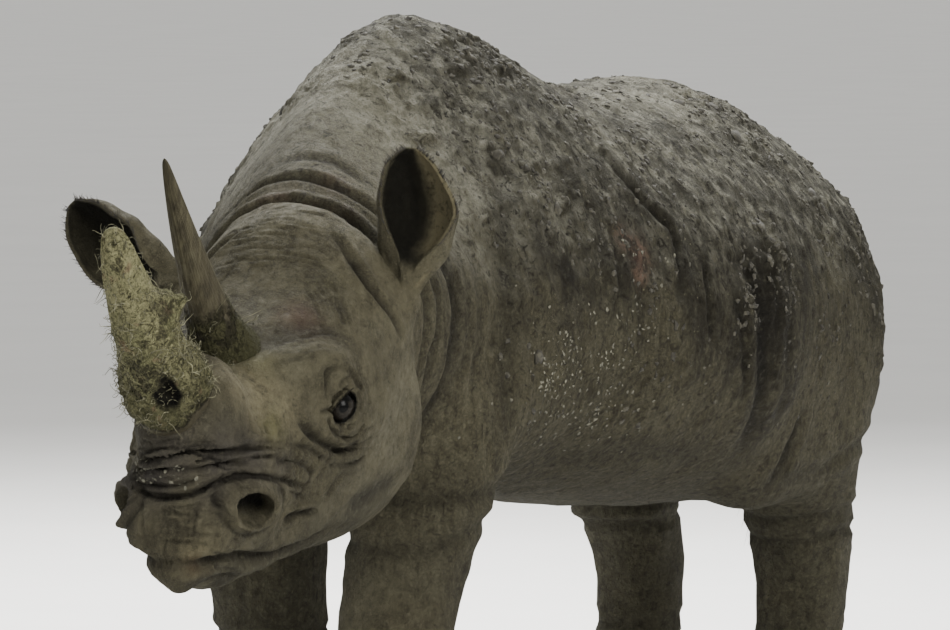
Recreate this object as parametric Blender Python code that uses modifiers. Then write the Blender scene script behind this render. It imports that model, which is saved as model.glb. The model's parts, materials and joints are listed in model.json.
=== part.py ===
"""A black rhinoceros standing with its head lowered, life size: one named solid for each part of the body.

Metres, +Z up. The animal faces -X with its left side towards -Y, and stands on the plane z = 0.
The flesh is lofted from sections, fused into one body, swollen and creased, then parted by thin cuts.
Horns, ears, eyes, nails and tail are whole solids sunk in pockets with a clearance all round.
"""

from math import cos, pi, radians, sin

import bmesh
import bpy
import numpy as np
from mathutils import Vector

# Driving sizes, in metres.
CUT = 0.0004  # width of a cut between two pieces of the body, and clearance in a pocket
FUSE_VOXEL = 0.02  # grid on which the lofted forms are fused
FLESH_TRIANGLES = 2500  # triangles of the fused body before it is parted
HEAD_KEEP = 0.05  # how much less the head is thinned than the rest
HEAD_ORIGIN = Vector((-0.785, -0.215, 1.03))  # middle of the nape end of the head
HEAD_YAW, HEAD_PITCH, HEAD_ROLL = 6.0, 27.0, -1.0  # degrees: to the left, nose down, leaning
HEAD_SCALE = 1.045
EYE_PLACE = (0.325, 0.158, -0.026)  # along, out and up in the head's own frame
EYE_RADIUS = 0.023
EYE_FACETS = (14, 8)  # round and over an eyeball
RING_POINTS = 36  # sides of a lofted form
TRUNK_RINGS, HEAD_RINGS, LEG_RINGS, TAIL_RINGS = 54, 40, 34, 15  # stations of each lofted form
BODY_SMOOTHING, HEAD_SMOOTHING = 26, 5  # rounds of smoothing after the forms are fused
HEAD_BLEND = 0.25  # length behind the head over which smoothing and thinning take full hold
SHARP_ANGLE = 50  # degrees between two facets from which their edge is shaded sharp

SKIN = ("hide", (0.105, 0.097, 0.078), 0.75)
HORN = ("horn", (0.16, 0.15, 0.11), 0.6)
EYE = ("eye", (0.02, 0.014, 0.010), 0.12)
NAIL = ("nail", (0.13, 0.12, 0.10), 0.6)

# Trunk and neck: x, y, height of the widest place, lean of the section (degrees), half width,
# rise to the back, drop to the belly, roundness above and below (2 is an ellipse, less is peaked).
TRUNK = [
    (1.74, 0.00, 0.93, -22, 0.09, 0.11, 0.12, 2.0, 2.0),
    (1.68, 0.00, 0.92, -16, 0.21, 0.21, 0.26, 1.9, 2.0),
    (1.52, 0.00, 0.92, -10, 0.32, 0.315, 0.34, 1.65, 2.1),
    (1.30, 0.00, 0.93, -4, 0.385, 0.385, 0.40, 1.55, 2.2),
    (1.05, 0.00, 0.92, 0, 0.43, 0.435, 0.41, 1.6, 2.3),
    (0.75, 0.00, 0.91, 0, 0.465, 0.43, 0.385, 1.75, 2.3),
    (0.45, 0.00, 0.92, 0, 0.45, 0.45, 0.36, 1.7, 2.2),
    (0.20, 0.00, 0.95, 0, 0.415, 0.515, 0.365, 1.5, 2.1),
    (0.00, 0.00, 0.97, 0, 0.385, 0.53, 0.38, 1.42, 2.0),
    (-0.22, -0.02, 0.98, 6, 0.33, 0.425, 0.35, 1.36, 2.0),
    (-0.40, -0.06, 0.99, 12, 0.275, 0.32, 0.345, 1.42, 2.0),
    (-0.56, -0.12, 1.01, 18, 0.230, 0.235, 0.335, 1.6, 2.0),
    (-0.72, -0.17, 1.01, 24, 0.20, 0.185, 0.305, 1.9, 2.0),
    (-0.86, -0.21, 0.97, 27, 0.15, 0.13, 0.20, 2.0, 2.0),
]

# Skull and upper lip: along, height of the widest place, half width, rise, drop, roundness above, below.
HEAD = [
    (-0.06, -0.04, 0.11, 0.11, 0.12, 2.0, 2.0),
    (-0.02, -0.045, 0.162, 0.180, 0.17, 2.0, 2.0),
    (0.04, -0.05, 0.190, 0.212, 0.195, 2.1, 2.0),
    (0.12, -0.055, 0.192, 0.195, 0.20, 2.3, 2.0),
    (0.20, -0.05, 0.190, 0.168, 0.185, 2.5, 2.0),
    (0.28, -0.035, 0.184, 0.148, 0.165, 2.5, 2.0),
    (0.36, -0.03, 0.165, 0.148, 0.14, 2.3, 2.1),
    (0.44, -0.035, 0.142, 0.158, 0.125, 2.1, 2.3),
    (0.52, -0.040, 0.136, 0.157, 0.105, 2.1, 2.4),
    (0.59, -0.050, 0.135, 0.133, 0.092, 2.3, 2.4),
    (0.65, -0.060, 0.124, 0.095, 0.078, 2.4, 2.3),
    (0.70, -0.072, 0.102, 0.068, 0.064, 2.3, 2.1),
    (0.735, -0.088, 0.068, 0.046, 0.054, 2.1, 1.9),
    (0.752, -0.100, 0.030, 0.020, 0.030, 2.0, 1.8),
]
# Lower jaw, in the same columns.
JAW = [
    (-0.04, -0.15, 0.11, 0.11, 0.12, 2.0, 2.0),
    (0.00, -0.165, 0.168, 0.17, 0.175, 2.0, 2.2),
    (0.07, -0.175, 0.194, 0.20, 0.200, 2.1, 2.3),
    (0.16, -0.175, 0.190, 0.19, 0.198, 2.1, 2.3),
    (0.28, -0.168, 0.170, 0.15, 0.162, 2.1, 2.3),
    (0.40, -0.158, 0.144, 0.10, 0.115, 2.1, 2.2),
    (0.50, -0.150, 0.118, 0.06, 0.078, 2.1, 2.1),
    (0.58, -0.150, 0.097, 0.035, 0.054, 2.1, 2.1),
    (0.635, -0.153, 0.072, 0.024, 0.042, 2.0, 2.0),
    (0.665, -0.156, 0.037, 0.012, 0.024, 2.0, 2.0),
]

# Legs, from the top down: x, distance from the middle, height, half length fore and aft, half width.
FORE_LEG = [
    (-0.06, 0.215, 1.04, 0.17, 0.10),
    (-0.11, 0.225, 0.88, 0.190, 0.135),
    (-0.16, 0.215, 0.72, 0.150, 0.140),
    (-0.18, 0.205, 0.58, 0.124, 0.122),
    (-0.19, 0.200, 0.44, 0.112, 0.110),
    (-0.18, 0.198, 0.34, 0.110, 0.106),
    (-0.17, 0.198, 0.23, 0.098, 0.096),
    (-0.18, 0.200, 0.14, 0.104, 0.101),
    (-0.20, 0.205, 0.07, 0.127, 0.121),
    (-0.20, 0.205, -0.03, 0.131, 0.125),
]
HIND_LEG = [
    (1.36, 0.19, 1.10, 0.22, 0.11),
    (1.34, 0.225, 0.94, 0.285, 0.145),
    (1.31, 0.240, 0.78, 0.290, 0.155),
    (1.31, 0.235, 0.64, 0.235, 0.145),
    (1.37, 0.225, 0.52, 0.152, 0.118),
    (1.44, 0.218, 0.42, 0.120, 0.102),
    (1.46, 0.215, 0.32, 0.102, 0.094),
    (1.44, 0.215, 0.21, 0.092, 0.089),
    (1.42, 0.218, 0.13, 0.098, 0.094),
    (1.39, 0.222, 0.065, 0.120, 0.114),
    (1.39, 0.222, -0.03, 0.124, 0.118),
]
LEGS = {  # how far each sole is stepped fore (-) or aft (+)
    "fore_left": -0.27,
    "fore_right": 0.08,
    "hind_left": -0.04,
    "hind_right": 0.14,
}
SWING_BOTTOM = 0.25  # height below which a leg's step is whole

# Solids that swell the body: place, radii along x, y and z. Each is mirrored to the right side.
SWELLS = [
    ((-0.04, -0.275, 0.93), (0.19, 0.11, 0.26)),
    ((1.40, -0.235, 0.83), (0.24, 0.13, 0.28)),
    ((1.07, -0.27, 0.62), (0.26, 0.10, 0.13)),
]
HEAD_SWELLS = [  # solids in the head's own frame, mirrored: place, radii
    ((0.295, 0.140, 0.032), (0.060, 0.040, 0.036)),
    ((0.215, 0.150, -0.085), (0.120, 0.050, 0.050)),
    ((0.610, 0.088, -0.055), (0.050, 0.046, 0.046)),
]
SWELL_FACETS, NOSTRIL_FACETS = (24, 16), (12, 8)  # round and over a swell or a nostril's hollow
NOSTRIL = ((0.640, 0.116, -0.048), (0.034, 0.028, 0.024))  # hollow in the head's frame: place, radii
NAPE_FOLDS = ((-0.060, 0.020), (-0.135, 0.016))  # folds over the neck: place behind the nape, depth
NAPE_BEND, NAPE_REACH = 1.2, 0.34  # how the folds bow towards the ears, and how far down they run
SIDE_FOLDS = [  # folds down each side: x, height, lean, depth
    (-0.27, 0.98, 0.10, 0.012),
    (1.00, 0.78, -0.25, 0.014),
]
NAPE_FOLD_WIDTH, SIDE_FOLD_WIDTH = 0.024, 0.03  # half width of the dip of a fold
SIDE_FOLD_REACH, SIDE_FOLD_START = 0.2, 0.2  # half height of a side fold, and its least distance from the middle
FOLD_EASE = 0.08  # distance over which a fold fades in
SWELL_PLACE, SWELL_SHARE = 2.2, 0.5  # the swell beside a dip: place in half widths, share of the depth
CUTTER_POINTS, CUTTER_ROWS = 16, 12  # sides and stations of the form that cuts out a leg
LEG_GROW = 0.05  # how far the cutter round a leg stands off it
LEG_TOP = {"fore": 0.62, "hind": 0.60}  # height at which the cut round a leg begins to slant
LEG_ROUNDNESS = 2.2  # of a leg's section, where 2 is an ellipse
LEG_CUT_BELOW = 0.1  # how far a leg's cutter reaches below its lowest station
DOME_SHIFT = 0.3  # how far the rings above the leg move outwards, as a share of their lift
LEG_DOME = [  # rings above that height: lift, share of the size, lean in radians
    (0.12, 1.0, 0.25), (0.22, 0.90, 0.45), (0.29, 0.62, 0.5),
]
NECK_CUT = ((-0.32, 1.1), (-0.937, 0.35))  # point (x, z) and normal of the cut between trunk and neck
HEAD_CUT = -0.01  # place of the cut between neck and head, along the head
EAR_LENGTH = 0.26
EAR_WALL = 0.008
EAR_ARC = 108  # degrees that the shell of an ear wraps from its back towards its opening
EARS = {  # base in the head's frame, way the ear leaves the head, way its cup points, way it opens
    "left": ((0.030, 0.168, 0.008), (0.12, -0.35, 1.0), (0.12, -0.02, 1.0), (-0.90, -0.44, 0.05)),
    "right": ((0.030, -0.195, 0.020), (-0.30, 1.0, 0.10), (-0.20, 0.85, 1.0), (-0.95, 0.30, 0.10)),
}
EAR_CLEARANCE = 3 * CUT  # room left round the root of an ear
EAR_CUP = 0.72  # depth of an ear's cup as a share of its half width
EAR_LIP, EAR_CROWN = 0.44, 0.3  # how near the lips the filling starts, and how far it bulges
EAR_POINTS = 9
EAR_TURN = 0.75  # share of the length over which an ear turns from the one way to the other
EAR_ROWS = [  # share of the length, half width, hollowness
    (0.00, 0.030, 0.0), (0.14, 0.040, 0.0), (0.24, 0.052, 0.35), (0.36, 0.063, 0.85), (0.50, 0.069, 1.0),
    (0.66, 0.068, 1.0), (0.80, 0.057, 1.0), (0.90, 0.041, 1.0), (0.97, 0.022, 0.8), (1.00, 0.009, 0.0),
]
# A horn: base in the head's frame, length, radii fore-and-aft and across, lean forward, curl back
# and lean to the left (degrees).
HORN_FRONT = ((0.548, 0.0, 0.060), 0.48, (0.108, 0.092), 31, 30, 0)
HORN_REAR = ((0.372, 0.0, 0.058), 0.46, (0.080, 0.068), 16, 14, -2.4)
HORN_RINGS, HORN_POINTS = 11, 16
HORN_FRONT_TAPER = [(0.0, 1.0), (0.1, 0.90), (0.2, 0.72), (0.4, 0.56), (0.65, 0.43), (0.88, 0.30), (1.0, 0.14)]
HORN_REAR_TAPER = [(0.0, 1.0), (0.1, 0.88), (0.2, 0.66), (0.4, 0.48), (0.65, 0.32), (0.88, 0.16), (1.0, 0.05)]
TAIL_POINTS = 10
TAIL = [  # x, y, z, half width across, half width fore and aft
    (1.60, 0.00, 1.075, 0.048, 0.040),
    (1.72, 0.00, 1.06, 0.046, 0.040),
    (1.795, 0.00, 0.98, 0.034, 0.032),
    (1.815, 0.005, 0.86, 0.026, 0.024),
    (1.820, 0.01, 0.72, 0.021, 0.018),
    (1.818, 0.012, 0.60, 0.017, 0.014),
    (1.816, 0.012, 0.53, 0.024, 0.014),
    (1.816, 0.012, 0.46, 0.022, 0.012),
    (1.818, 0.012, 0.40, 0.008, 0.006),
]
NAILS = {"outer": 54, "front": 0, "inner": -54}  # degrees of each nail round the foot from straight ahead
NAIL_SIZE = (0.036, 0.019, 0.056)  # half width, half depth and height of a nail
NAIL_POINTS = 8
NAIL_RAKE = 0.010  # how far the top of a nail leans back into the foot
NAIL_LIFT = 0.004  # how far the nails stay off the floor
NAIL_SINK = 0.004  # how far the middle of a nail lies inside the surface of the foot
FOOT_LEVEL = 0.03  # height at which the foot's outline is taken for the nails
NAIL_ROWS = [(0.0, 1.0, 1.0), (0.35, 0.98, 0.95), (0.75, 0.85, 0.75), (1.0, 0.55, 0.4)]  # height, width, depth


# ---------------------------------------------------------------- helpers

def clear_scene():
    for old in list(bpy.data.objects):
        bpy.data.objects.remove(old)


def material(finish):
    name, colour, roughness = finish
    made = bpy.data.materials.get(name) or bpy.data.materials.new(name)
    made.use_nodes = True
    shader = made.node_tree.nodes["Principled BSDF"]
    shader.inputs["Base Color"].default_value = (*colour, 1)
    shader.inputs["Roughness"].default_value = roughness
    shader.inputs["Metallic"].default_value = 0
    return made


def place(name, mesh, finish=SKIN):
    """Puts a finished mesh in the scene as a node."""
    obj = bpy.data.objects.new(name, mesh)
    PARTS.objects.link(obj)
    mesh.materials.clear()
    mesh.materials.append(material(finish))
    mesh.shade_smooth()
    mesh.set_sharp_from_angle(angle=radians(SHARP_ANGLE))
    return obj


def helper(name, mesh):
    obj = bpy.data.objects.new(name, mesh)
    HELPERS.objects.link(obj)
    return obj


def evaluated(obj):
    """A plain mesh of the object as its modifiers leave it."""
    graph = bpy.context.evaluated_depsgraph_get()
    graph.update()
    return bpy.data.meshes.new_from_object(obj.evaluated_get(graph))


def with_modifier(mesh, kind, **settings):
    """The mesh after one modifier."""
    obj = helper("work", mesh.copy())
    modifier = obj.modifiers.new(kind.lower(), kind)
    for name, value in settings.items():
        setattr(modifier, name, value)
    made = evaluated(obj)
    bpy.data.objects.remove(obj)
    return made


def boolean(mesh, cutter, operation):
    tool = helper("tool", cutter)
    made = with_modifier(mesh, "BOOLEAN", object=tool, operation=operation, solver="EXACT")
    bpy.data.objects.remove(tool)
    return made


def inflated(mesh, amount=CUT):
    """A copy whose surface stands out by a little more than amount."""
    copy = mesh.copy()
    copy.update()
    normals = [v.normal.copy() for v in copy.vertices]
    for vertex, normal in zip(copy.vertices, normals):
        vertex.co += normal * amount * 1.5
    return copy


def smooth_table(rows, count):
    """Rows of numbers made into count rows on a smooth curve through them."""
    rows = np.array(rows, float)
    padded = np.vstack([2 * rows[0] - rows[1], rows, 2 * rows[-1] - rows[-2]])
    out = []
    for t in np.linspace(0, len(rows) - 1, count):
        i = min(int(t), len(rows) - 2)
        f = t - i
        p0, p1, p2, p3 = padded[i:i + 4]
        out.append(0.5 * (2 * p1 + (p2 - p0) * f + (2 * p0 - 5 * p1 + 4 * p2 - p3) * f ** 2
                          + (3 * p1 - p0 - 3 * p2 + p3) * f ** 3))
    return out


def section(centre, side, up, half_width, rise, drop, top_power=2, low_power=2, points=RING_POINTS):
    """One closed ring: a rounded outline whose upper and lower halves differ."""
    ring = []
    for k in range(points):
        angle = 2 * pi * k / points
        c, s = cos(angle), sin(angle)
        power = 2 / (top_power if s > 0 else low_power)
        height = rise if s > 0 else drop
        across = half_width * abs(c) ** power * (1 if c > 0 else -1)
        ring.append(centre + side * across + up * height * abs(s) ** power * (1 if s > 0 else -1))
    return ring


def loft(name, rings):
    """A closed mesh through rings of equal count, with a fan over each end."""
    form = bmesh.new()
    rows = [[form.verts.new(p) for p in ring] for ring in rings]
    for low, high in zip(rows, rows[1:]):
        for k in range(len(low)):
            n = (k + 1) % len(low)
            form.faces.new((low[k], low[n], high[n], high[k]))
    for row in (rows[0], rows[-1]):
        middle = form.verts.new(sum((v.co for v in row), Vector()) / len(row))
        for k in range(len(row)):
            form.faces.new((row[k], row[(k + 1) % len(row)], middle))
    bmesh.ops.triangulate(form, faces=form.faces)
    bmesh.ops.recalc_face_normals(form, faces=form.faces)
    mesh = bpy.data.meshes.new(name)
    form.to_mesh(mesh)
    form.free()
    return mesh


def ball(name, centre, radii, segments, rings):
    form = bmesh.new()
    bmesh.ops.create_uvsphere(form, u_segments=segments, v_segments=rings, radius=1)
    for vertex in form.verts:
        vertex.co = Vector(centre) + Vector(a * b for a, b in zip(vertex.co, radii))
    bmesh.ops.triangulate(form, faces=form.faces)
    mesh = bpy.data.meshes.new(name)
    form.to_mesh(mesh)
    form.free()
    return mesh


def halved(mesh, point, normal):
    """The closed part of a mesh behind a plane, and the one in front, with the cut between them."""
    halves = []
    for sign in (-1, 1):
        form = bmesh.new()
        form.from_mesh(mesh)
        everything = form.verts[:] + form.edges[:] + form.faces[:]
        edge = point + normal * sign * CUT / 2
        bmesh.ops.bisect_plane(form, geom=everything, plane_co=edge, plane_no=normal * -sign,
                               clear_outer=True)
        rim = [e for e in form.edges if e.is_boundary]
        bmesh.ops.holes_fill(form, edges=rim, sides=0)
        bmesh.ops.recalc_face_normals(form, faces=form.faces)
        half = bpy.data.meshes.new("half")
        form.to_mesh(half)
        form.free()
        halves.append(half)
    return halves


# ---------------------------------------------------------------- body frame

def head_axes():
    yaw, pitch, roll = (radians(a) for a in (HEAD_YAW, HEAD_PITCH, HEAD_ROLL))
    along = Vector((-cos(pitch) * cos(yaw), -cos(pitch) * sin(yaw), -sin(pitch)))
    left = Vector((sin(yaw), -cos(yaw), 0))
    up = left.cross(along)
    up = up if up.z > 0 else -up
    return along, left * cos(roll) + up * sin(roll), up * cos(roll) - left * sin(roll)


def head_point(along, out, up):
    """A place in the head's own frame: along from the nape, out to its left, up from its middle."""
    a, l, u = head_axes()
    return HEAD_ORIGIN + HEAD_SCALE * (a * along + l * out + u * up)


# ---------------------------------------------------------------- flesh

def trunk_mesh():
    rings = []
    for x, y, z, lean, width, rise, drop, top, low in smooth_table(TRUNK, TRUNK_RINGS):
        up = Vector((-sin(radians(lean)), 0, cos(radians(lean))))
        rings.append(section(Vector((x, y, z)), Vector((0, 1, 0)), up, width, rise, drop, top, low))
    return loft("trunk_form", rings)


def head_mesh(rows):
    along, left, up = head_axes()
    rings = []
    for a, h, width, rise, drop, top, low in smooth_table(rows, HEAD_RINGS):
        size = [HEAD_SCALE * v for v in (width, rise, drop)]
        rings.append(section(head_point(a, 0, h), left, up, *size, top, low))
    return loft("head_form", rings)


def leg_row(name, row):
    """A leg station moved to its side and by its step: centre, half length, half width."""
    stations = FORE_LEG if name.startswith("fore") else HIND_LEG
    x, out, z, length, width = row
    top = stations[0][2]
    share = min(1, (top - z) / (top - SWING_BOTTOM))
    side = -1 if name.endswith("left") else 1
    return Vector((x + LEGS[name] * share, side * out, z)), length, width


def leg_mesh(name, grow=0.0, top=None):
    """One leg as a closed form. With grow and top it is a cutter round the leg under a leaning dome."""
    stations = FORE_LEG if name.startswith("fore") else HIND_LEG
    rings = []
    points = RING_POINTS if top is None else CUTTER_POINTS
    for row in smooth_table(stations, LEG_RINGS if top is None else CUTTER_ROWS):
        centre, length, width = leg_row(name, row)
        if top is not None and centre.z > top:
            continue
        length, width = length + grow, width + grow
        rings.append(section(centre, Vector((0, 1, 0)), Vector((1, 0, 0)), width, length, length, LEG_ROUNDNESS,
                             LEG_ROUNDNESS, points))
    if top is not None:
        side = -1 if name.endswith("left") else 1
        for lift, shrink, lean in LEG_DOME:
            centre, length, width = leg_row(name, row_at(stations, top))
            centre = centre + Vector((0, side * lift * DOME_SHIFT, lift))
            slant = Vector((0, cos(lean), side * sin(lean)))
            size = (width + grow) * shrink / cos(lean)
            reach = (length + grow) * shrink
            rings.insert(0, section(centre, slant, Vector((1, 0, 0)), size, reach, reach, LEG_ROUNDNESS,
                                    LEG_ROUNDNESS, points))
        centre, length, width = leg_row(name, [float(v) for v in stations[-1]])
        low = centre - Vector((0, 0, LEG_CUT_BELOW))
        rings.append(section(low, Vector((0, 1, 0)), Vector((1, 0, 0)), width + grow, length + grow,
                             length + grow, LEG_ROUNDNESS, LEG_ROUNDNESS, points))
    return loft("leg_form", rings)


def row_at(stations, height):
    """The station of a leg at a height, read off its table."""
    table = np.array(stations)[::-1]
    return [float(np.interp(height, table[:, 2], table[:, k])) for k in range(5)]


def moved(mesh, offsets):
    points = np.empty(len(mesh.vertices) * 3)
    mesh.vertices.foreach_get("co", points)
    mesh.vertices.foreach_set("co", points + np.asarray(offsets).ravel())
    mesh.update()


def points_and_normals(mesh):
    points, normals = np.empty(len(mesh.vertices) * 3), np.empty(len(mesh.vertices) * 3)
    mesh.vertices.foreach_get("co", points)
    mesh.vertex_normals.foreach_get("vector", normals)
    return points.reshape(-1, 3), normals.reshape(-1, 3)


def pressed(mesh, away, half_width, depth, share=1.0):
    """Presses a fold into the mesh where away is small, with a soft swell on each side of it."""
    _, normals = points_and_normals(mesh)
    dip = np.exp(-(away / half_width) ** 2)
    swell = np.exp(-((np.abs(away) - SWELL_PLACE * half_width) / half_width) ** 2)
    moved(mesh, normals * (depth * share * (SWELL_SHARE * swell - dip))[:, None])


def fold_hide(mesh):
    """Folds of the hide: over the nape, before the shoulder, and from the flank to the stifle."""
    points, _ = points_and_normals(mesh)
    along, left, up = head_axes()
    for behind, depth in NAPE_FOLDS:
        offset = points - np.array(head_point(behind, 0, 0))
        across, height = offset @ np.array(left), offset @ np.array(up)
        bent = offset @ np.array(along) - NAPE_BEND * across ** 2
        near = np.linalg.norm(offset, axis=1) < NAPE_REACH
        share = np.clip(height / FOLD_EASE + 0.5, 0, 1) * near
        pressed(mesh, bent, NAPE_FOLD_WIDTH, depth, share)
    for side in (-1, 1):
        for x, z, lean, depth in SIDE_FOLDS:
            away = points[:, 0] - x - lean * (points[:, 2] - z)
            outer = np.clip((side * points[:, 1] - SIDE_FOLD_START) / FOLD_EASE, 0, 1)
            share = outer * np.exp(-((points[:, 2] - z) / SIDE_FOLD_REACH) ** 4)
            pressed(mesh, away, SIDE_FOLD_WIDTH, depth, share)


def flesh_mesh():
    forms = [trunk_mesh(), head_mesh(HEAD), head_mesh(JAW)]
    forms += [leg_mesh(name) for name in LEGS]
    for (x, y, z), radii in SWELLS:
        forms += [ball("swell", (x, side * y, z), radii, *SWELL_FACETS) for side in (1, -1)]
    for (a, out, up), radii in HEAD_SWELLS:
        forms += [head_ball((a, side * out, up), radii, *SWELL_FACETS) for side in (1, -1)]
    form = bmesh.new()
    for mesh in forms:
        form.from_mesh(mesh)
    joined = bpy.data.meshes.new("flesh")
    form.to_mesh(joined)
    form.free()
    fused = with_modifier(joined, "REMESH", mode="VOXEL", voxel_size=FUSE_VOXEL)
    smooth = smoothed(fused)
    fold_hide(smooth)
    return halved(thinned(smooth), Vector((0, 0, 0)), Vector((0, 0, 1)))[1]


def body_group(obj, least=0.0):
    """A vertex group that is least on the head and grows to 1 on the trunk and legs."""
    obj.vertex_groups.clear()
    body = obj.vertex_groups.new(name="body")
    for vertex in obj.data.vertices:
        share = (vertex.co.x - HEAD_ORIGIN.x) / HEAD_BLEND
        body.add([vertex.index], min(1, max(least, share)), "REPLACE")


def thinned(mesh):
    """Thins the mesh to flat facets, the head less than the rest."""
    obj = helper("work", mesh)
    body_group(obj, 0.5)
    modifier = obj.modifiers.new("thin", "DECIMATE")
    modifier.ratio = FLESH_TRIANGLES / (2 * len(mesh.polygons))
    modifier.vertex_group = "body"
    modifier.vertex_group_factor = HEAD_KEEP
    made = evaluated(obj)
    bpy.data.objects.remove(obj)
    return made


def smoothed(mesh):
    """Smooths the fused forms, the trunk and legs more than the head."""
    obj = helper("work", mesh)
    body_group(obj)
    for name, group, steps in (("all", "", HEAD_SMOOTHING), ("body", "body", BODY_SMOOTHING)):
        modifier = obj.modifiers.new(name, "SMOOTH")
        modifier.factor, modifier.iterations, modifier.vertex_group = 0.5, steps, group
    made = evaluated(obj)
    bpy.data.objects.remove(obj)
    return made


def head_ball(centre, radii, segments, rings):
    along, left, up = head_axes()
    mesh = ball("swell", (0, 0, 0), radii, segments, rings)
    for vertex in mesh.vertices:
        x, y, z = vertex.co * HEAD_SCALE
        vertex.co = head_point(*centre) + along * x + left * y + up * z
    return turned_out(mesh)


def turned_out(mesh):
    """The mesh with its faces turned outwards."""
    form = bmesh.new()
    form.from_mesh(mesh)
    bmesh.ops.recalc_face_normals(form, faces=form.faces)
    form.to_mesh(mesh)
    form.free()
    return mesh


def part_flesh(flesh):
    """Parts the body into four legs, trunk, neck and head, each a closed mesh."""
    pieces = {}
    for name in LEGS:
        cutter = leg_mesh(name, LEG_GROW, LEG_TOP[name[:4]])
        pieces["leg_" + name] = boolean(flesh, cutter, "INTERSECT")
        flesh = boolean(flesh, inflated(cutter, 2 * CUT), "DIFFERENCE")
    (x, z), (across, rise) = NECK_CUT
    neck_plane = Vector((across, 0, rise)).normalized()
    pieces["trunk"], front = halved(flesh, Vector((x, 0, z)), neck_plane)
    along = head_axes()[0]
    pieces["neck"], pieces["head"] = halved(front, head_point(HEAD_CUT, 0, 0), along)
    return pieces


# ---------------------------------------------------------------- horns, ears, eyes, tail and nails

def horn_mesh(base, length, radii, lean, curl, stray, taper):
    """A horn that starts leaning forward and curls back towards its point."""
    along, left, up = head_axes()
    place_now = head_point(*base)
    rings = []
    for k in range(HORN_RINGS):
        t = k / (HORN_RINGS - 1)
        tilt = radians(lean - curl * t)
        way = up * cos(tilt) + along * sin(tilt) + left * sin(radians(stray))
        fore = along * cos(tilt) - up * sin(tilt)
        size = float(np.interp(t, *zip(*taper)))
        rings.append(section(place_now, left, fore, radii[1] * size, radii[0] * size, radii[0] * size,
                             points=HORN_POINTS))
        place_now = place_now + way * length / (HORN_RINGS - 1)
    return loft("horn", rings)


def ear_mesh(side, grow=0.0):
    """An ear: a solid stalk that opens into a thin cupped shell. With grow it is a solid, larger all round."""
    base, start, way, opening = EARS[side]
    start, way, opening = (Vector(v).normalized() for v in (start, way, opening))
    wrap = np.radians(np.linspace(-EAR_ARC, EAR_ARC, EAR_POINTS))
    place_now, done = head_point(*base), 0.0
    rings = []
    for share, width, hollow in EAR_ROWS:
        axis = start.lerp(way, min(1, share / EAR_TURN)).normalized()
        face = (opening - axis * opening.dot(axis)).normalized()
        across = axis.cross(face)
        place_now = place_now + axis * EAR_LENGTH * (share - done)
        done = share
        middle = place_now + axis * grow * (2 * share - 1)
        deep = width * EAR_CUP + grow
        width += grow
        outer = [middle + across * width * sin(a) - face * deep * cos(a) for a in wrap]
        inner = []
        for a in wrap[::-1]:
            shell = middle + across * (width - EAR_WALL) * sin(a) - face * (deep - EAR_WALL) * cos(a)
            t = 0.5 + EAR_LIP * a / radians(EAR_ARC)
            chord = outer[0].lerp(outer[-1], t) + face * (width * EAR_CROWN * (1 - (2 * t - 1) ** 2) + grow)
            inner.append(chord.lerp(shell, 0 if grow else hollow))
        rings.append(outer + inner)
    return loft("ear", rings)


def eye_mesh(side):
    a, out, up = EYE_PLACE
    return ball("eye", head_point(a, side * out, up), (EYE_RADIUS,) * 3, *EYE_FACETS)


def tail_mesh():
    rows = smooth_table(TAIL, TAIL_RINGS)
    rings = []
    for k, row in enumerate(rows):
        before, after = rows[max(k - 1, 0)], rows[min(k + 1, len(rows) - 1)]
        way = Vector(after[:3] - before[:3]).normalized()
        fore = Vector((0, 1, 0)).cross(way).normalized()
        x, y, z, across, deep = row
        rings.append(section(Vector((x, y, z)), Vector((0, 1, 0)), fore, across, deep, deep,
                             points=TAIL_POINTS))
    return loft("tail", rings)


def nail_mesh(leg, turn):
    """A nail that stands out of the foot at a turn from straight ahead."""
    stations = FORE_LEG if leg.startswith("fore") else HIND_LEG
    centre, length, width = leg_row(leg, row_at(stations, FOOT_LEVEL))
    side = -1 if leg.endswith("left") else 1
    a = radians(turn)
    out = Vector((-cos(a), side * sin(a), 0))
    reach = 1 / ((cos(a) / length) ** 2 + (sin(a) / width) ** 2) ** 0.5 - NAIL_SINK
    tangent = Vector((-out.y, out.x, 0))
    half_width, half_depth, height = NAIL_SIZE
    rings = []
    for share, wide, deep in NAIL_ROWS:
        lift = NAIL_LIFT + height * share
        middle = Vector((centre.x, centre.y, lift)) + out * (reach - NAIL_RAKE * share)
        rings.append(section(middle, tangent, out, half_width * wide, half_depth * deep, half_depth * deep,
                             points=NAIL_POINTS))
    return loft("nail", rings)


def sink(pieces, host, name, mesh, cutter=None):
    """Adds a solid to the pieces and cuts its pocket in the piece that holds it."""
    mesh = turned_out(mesh)
    cutter = turned_out(cutter) if cutter else inflated(mesh)
    pieces[host] = boolean(pieces[host], cutter, "DIFFERENCE")
    pieces[name] = mesh


def centred(pieces):
    """Moves all pieces so that the middle of the bounding box stands over the origin."""
    low, high = np.full(3, 1e9), np.full(3, -1e9)
    for mesh in pieces.values():
        points, _ = points_and_normals(mesh)
        low, high = np.minimum(low, points.min(axis=0)), np.maximum(high, points.max(axis=0))
    for mesh in pieces.values():
        middle = (low + high) / 2
        moved(mesh, np.tile([-middle[0], -middle[1], -low[2]], (len(mesh.vertices), 1)))


clear_scene()
PARTS = bpy.data.collections.new("rhinoceros")
HELPERS = bpy.data.collections.new("helpers")
bpy.context.scene.collection.children.link(PARTS)
bpy.context.scene.collection.children.link(HELPERS)
HELPERS.hide_render = True

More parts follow.
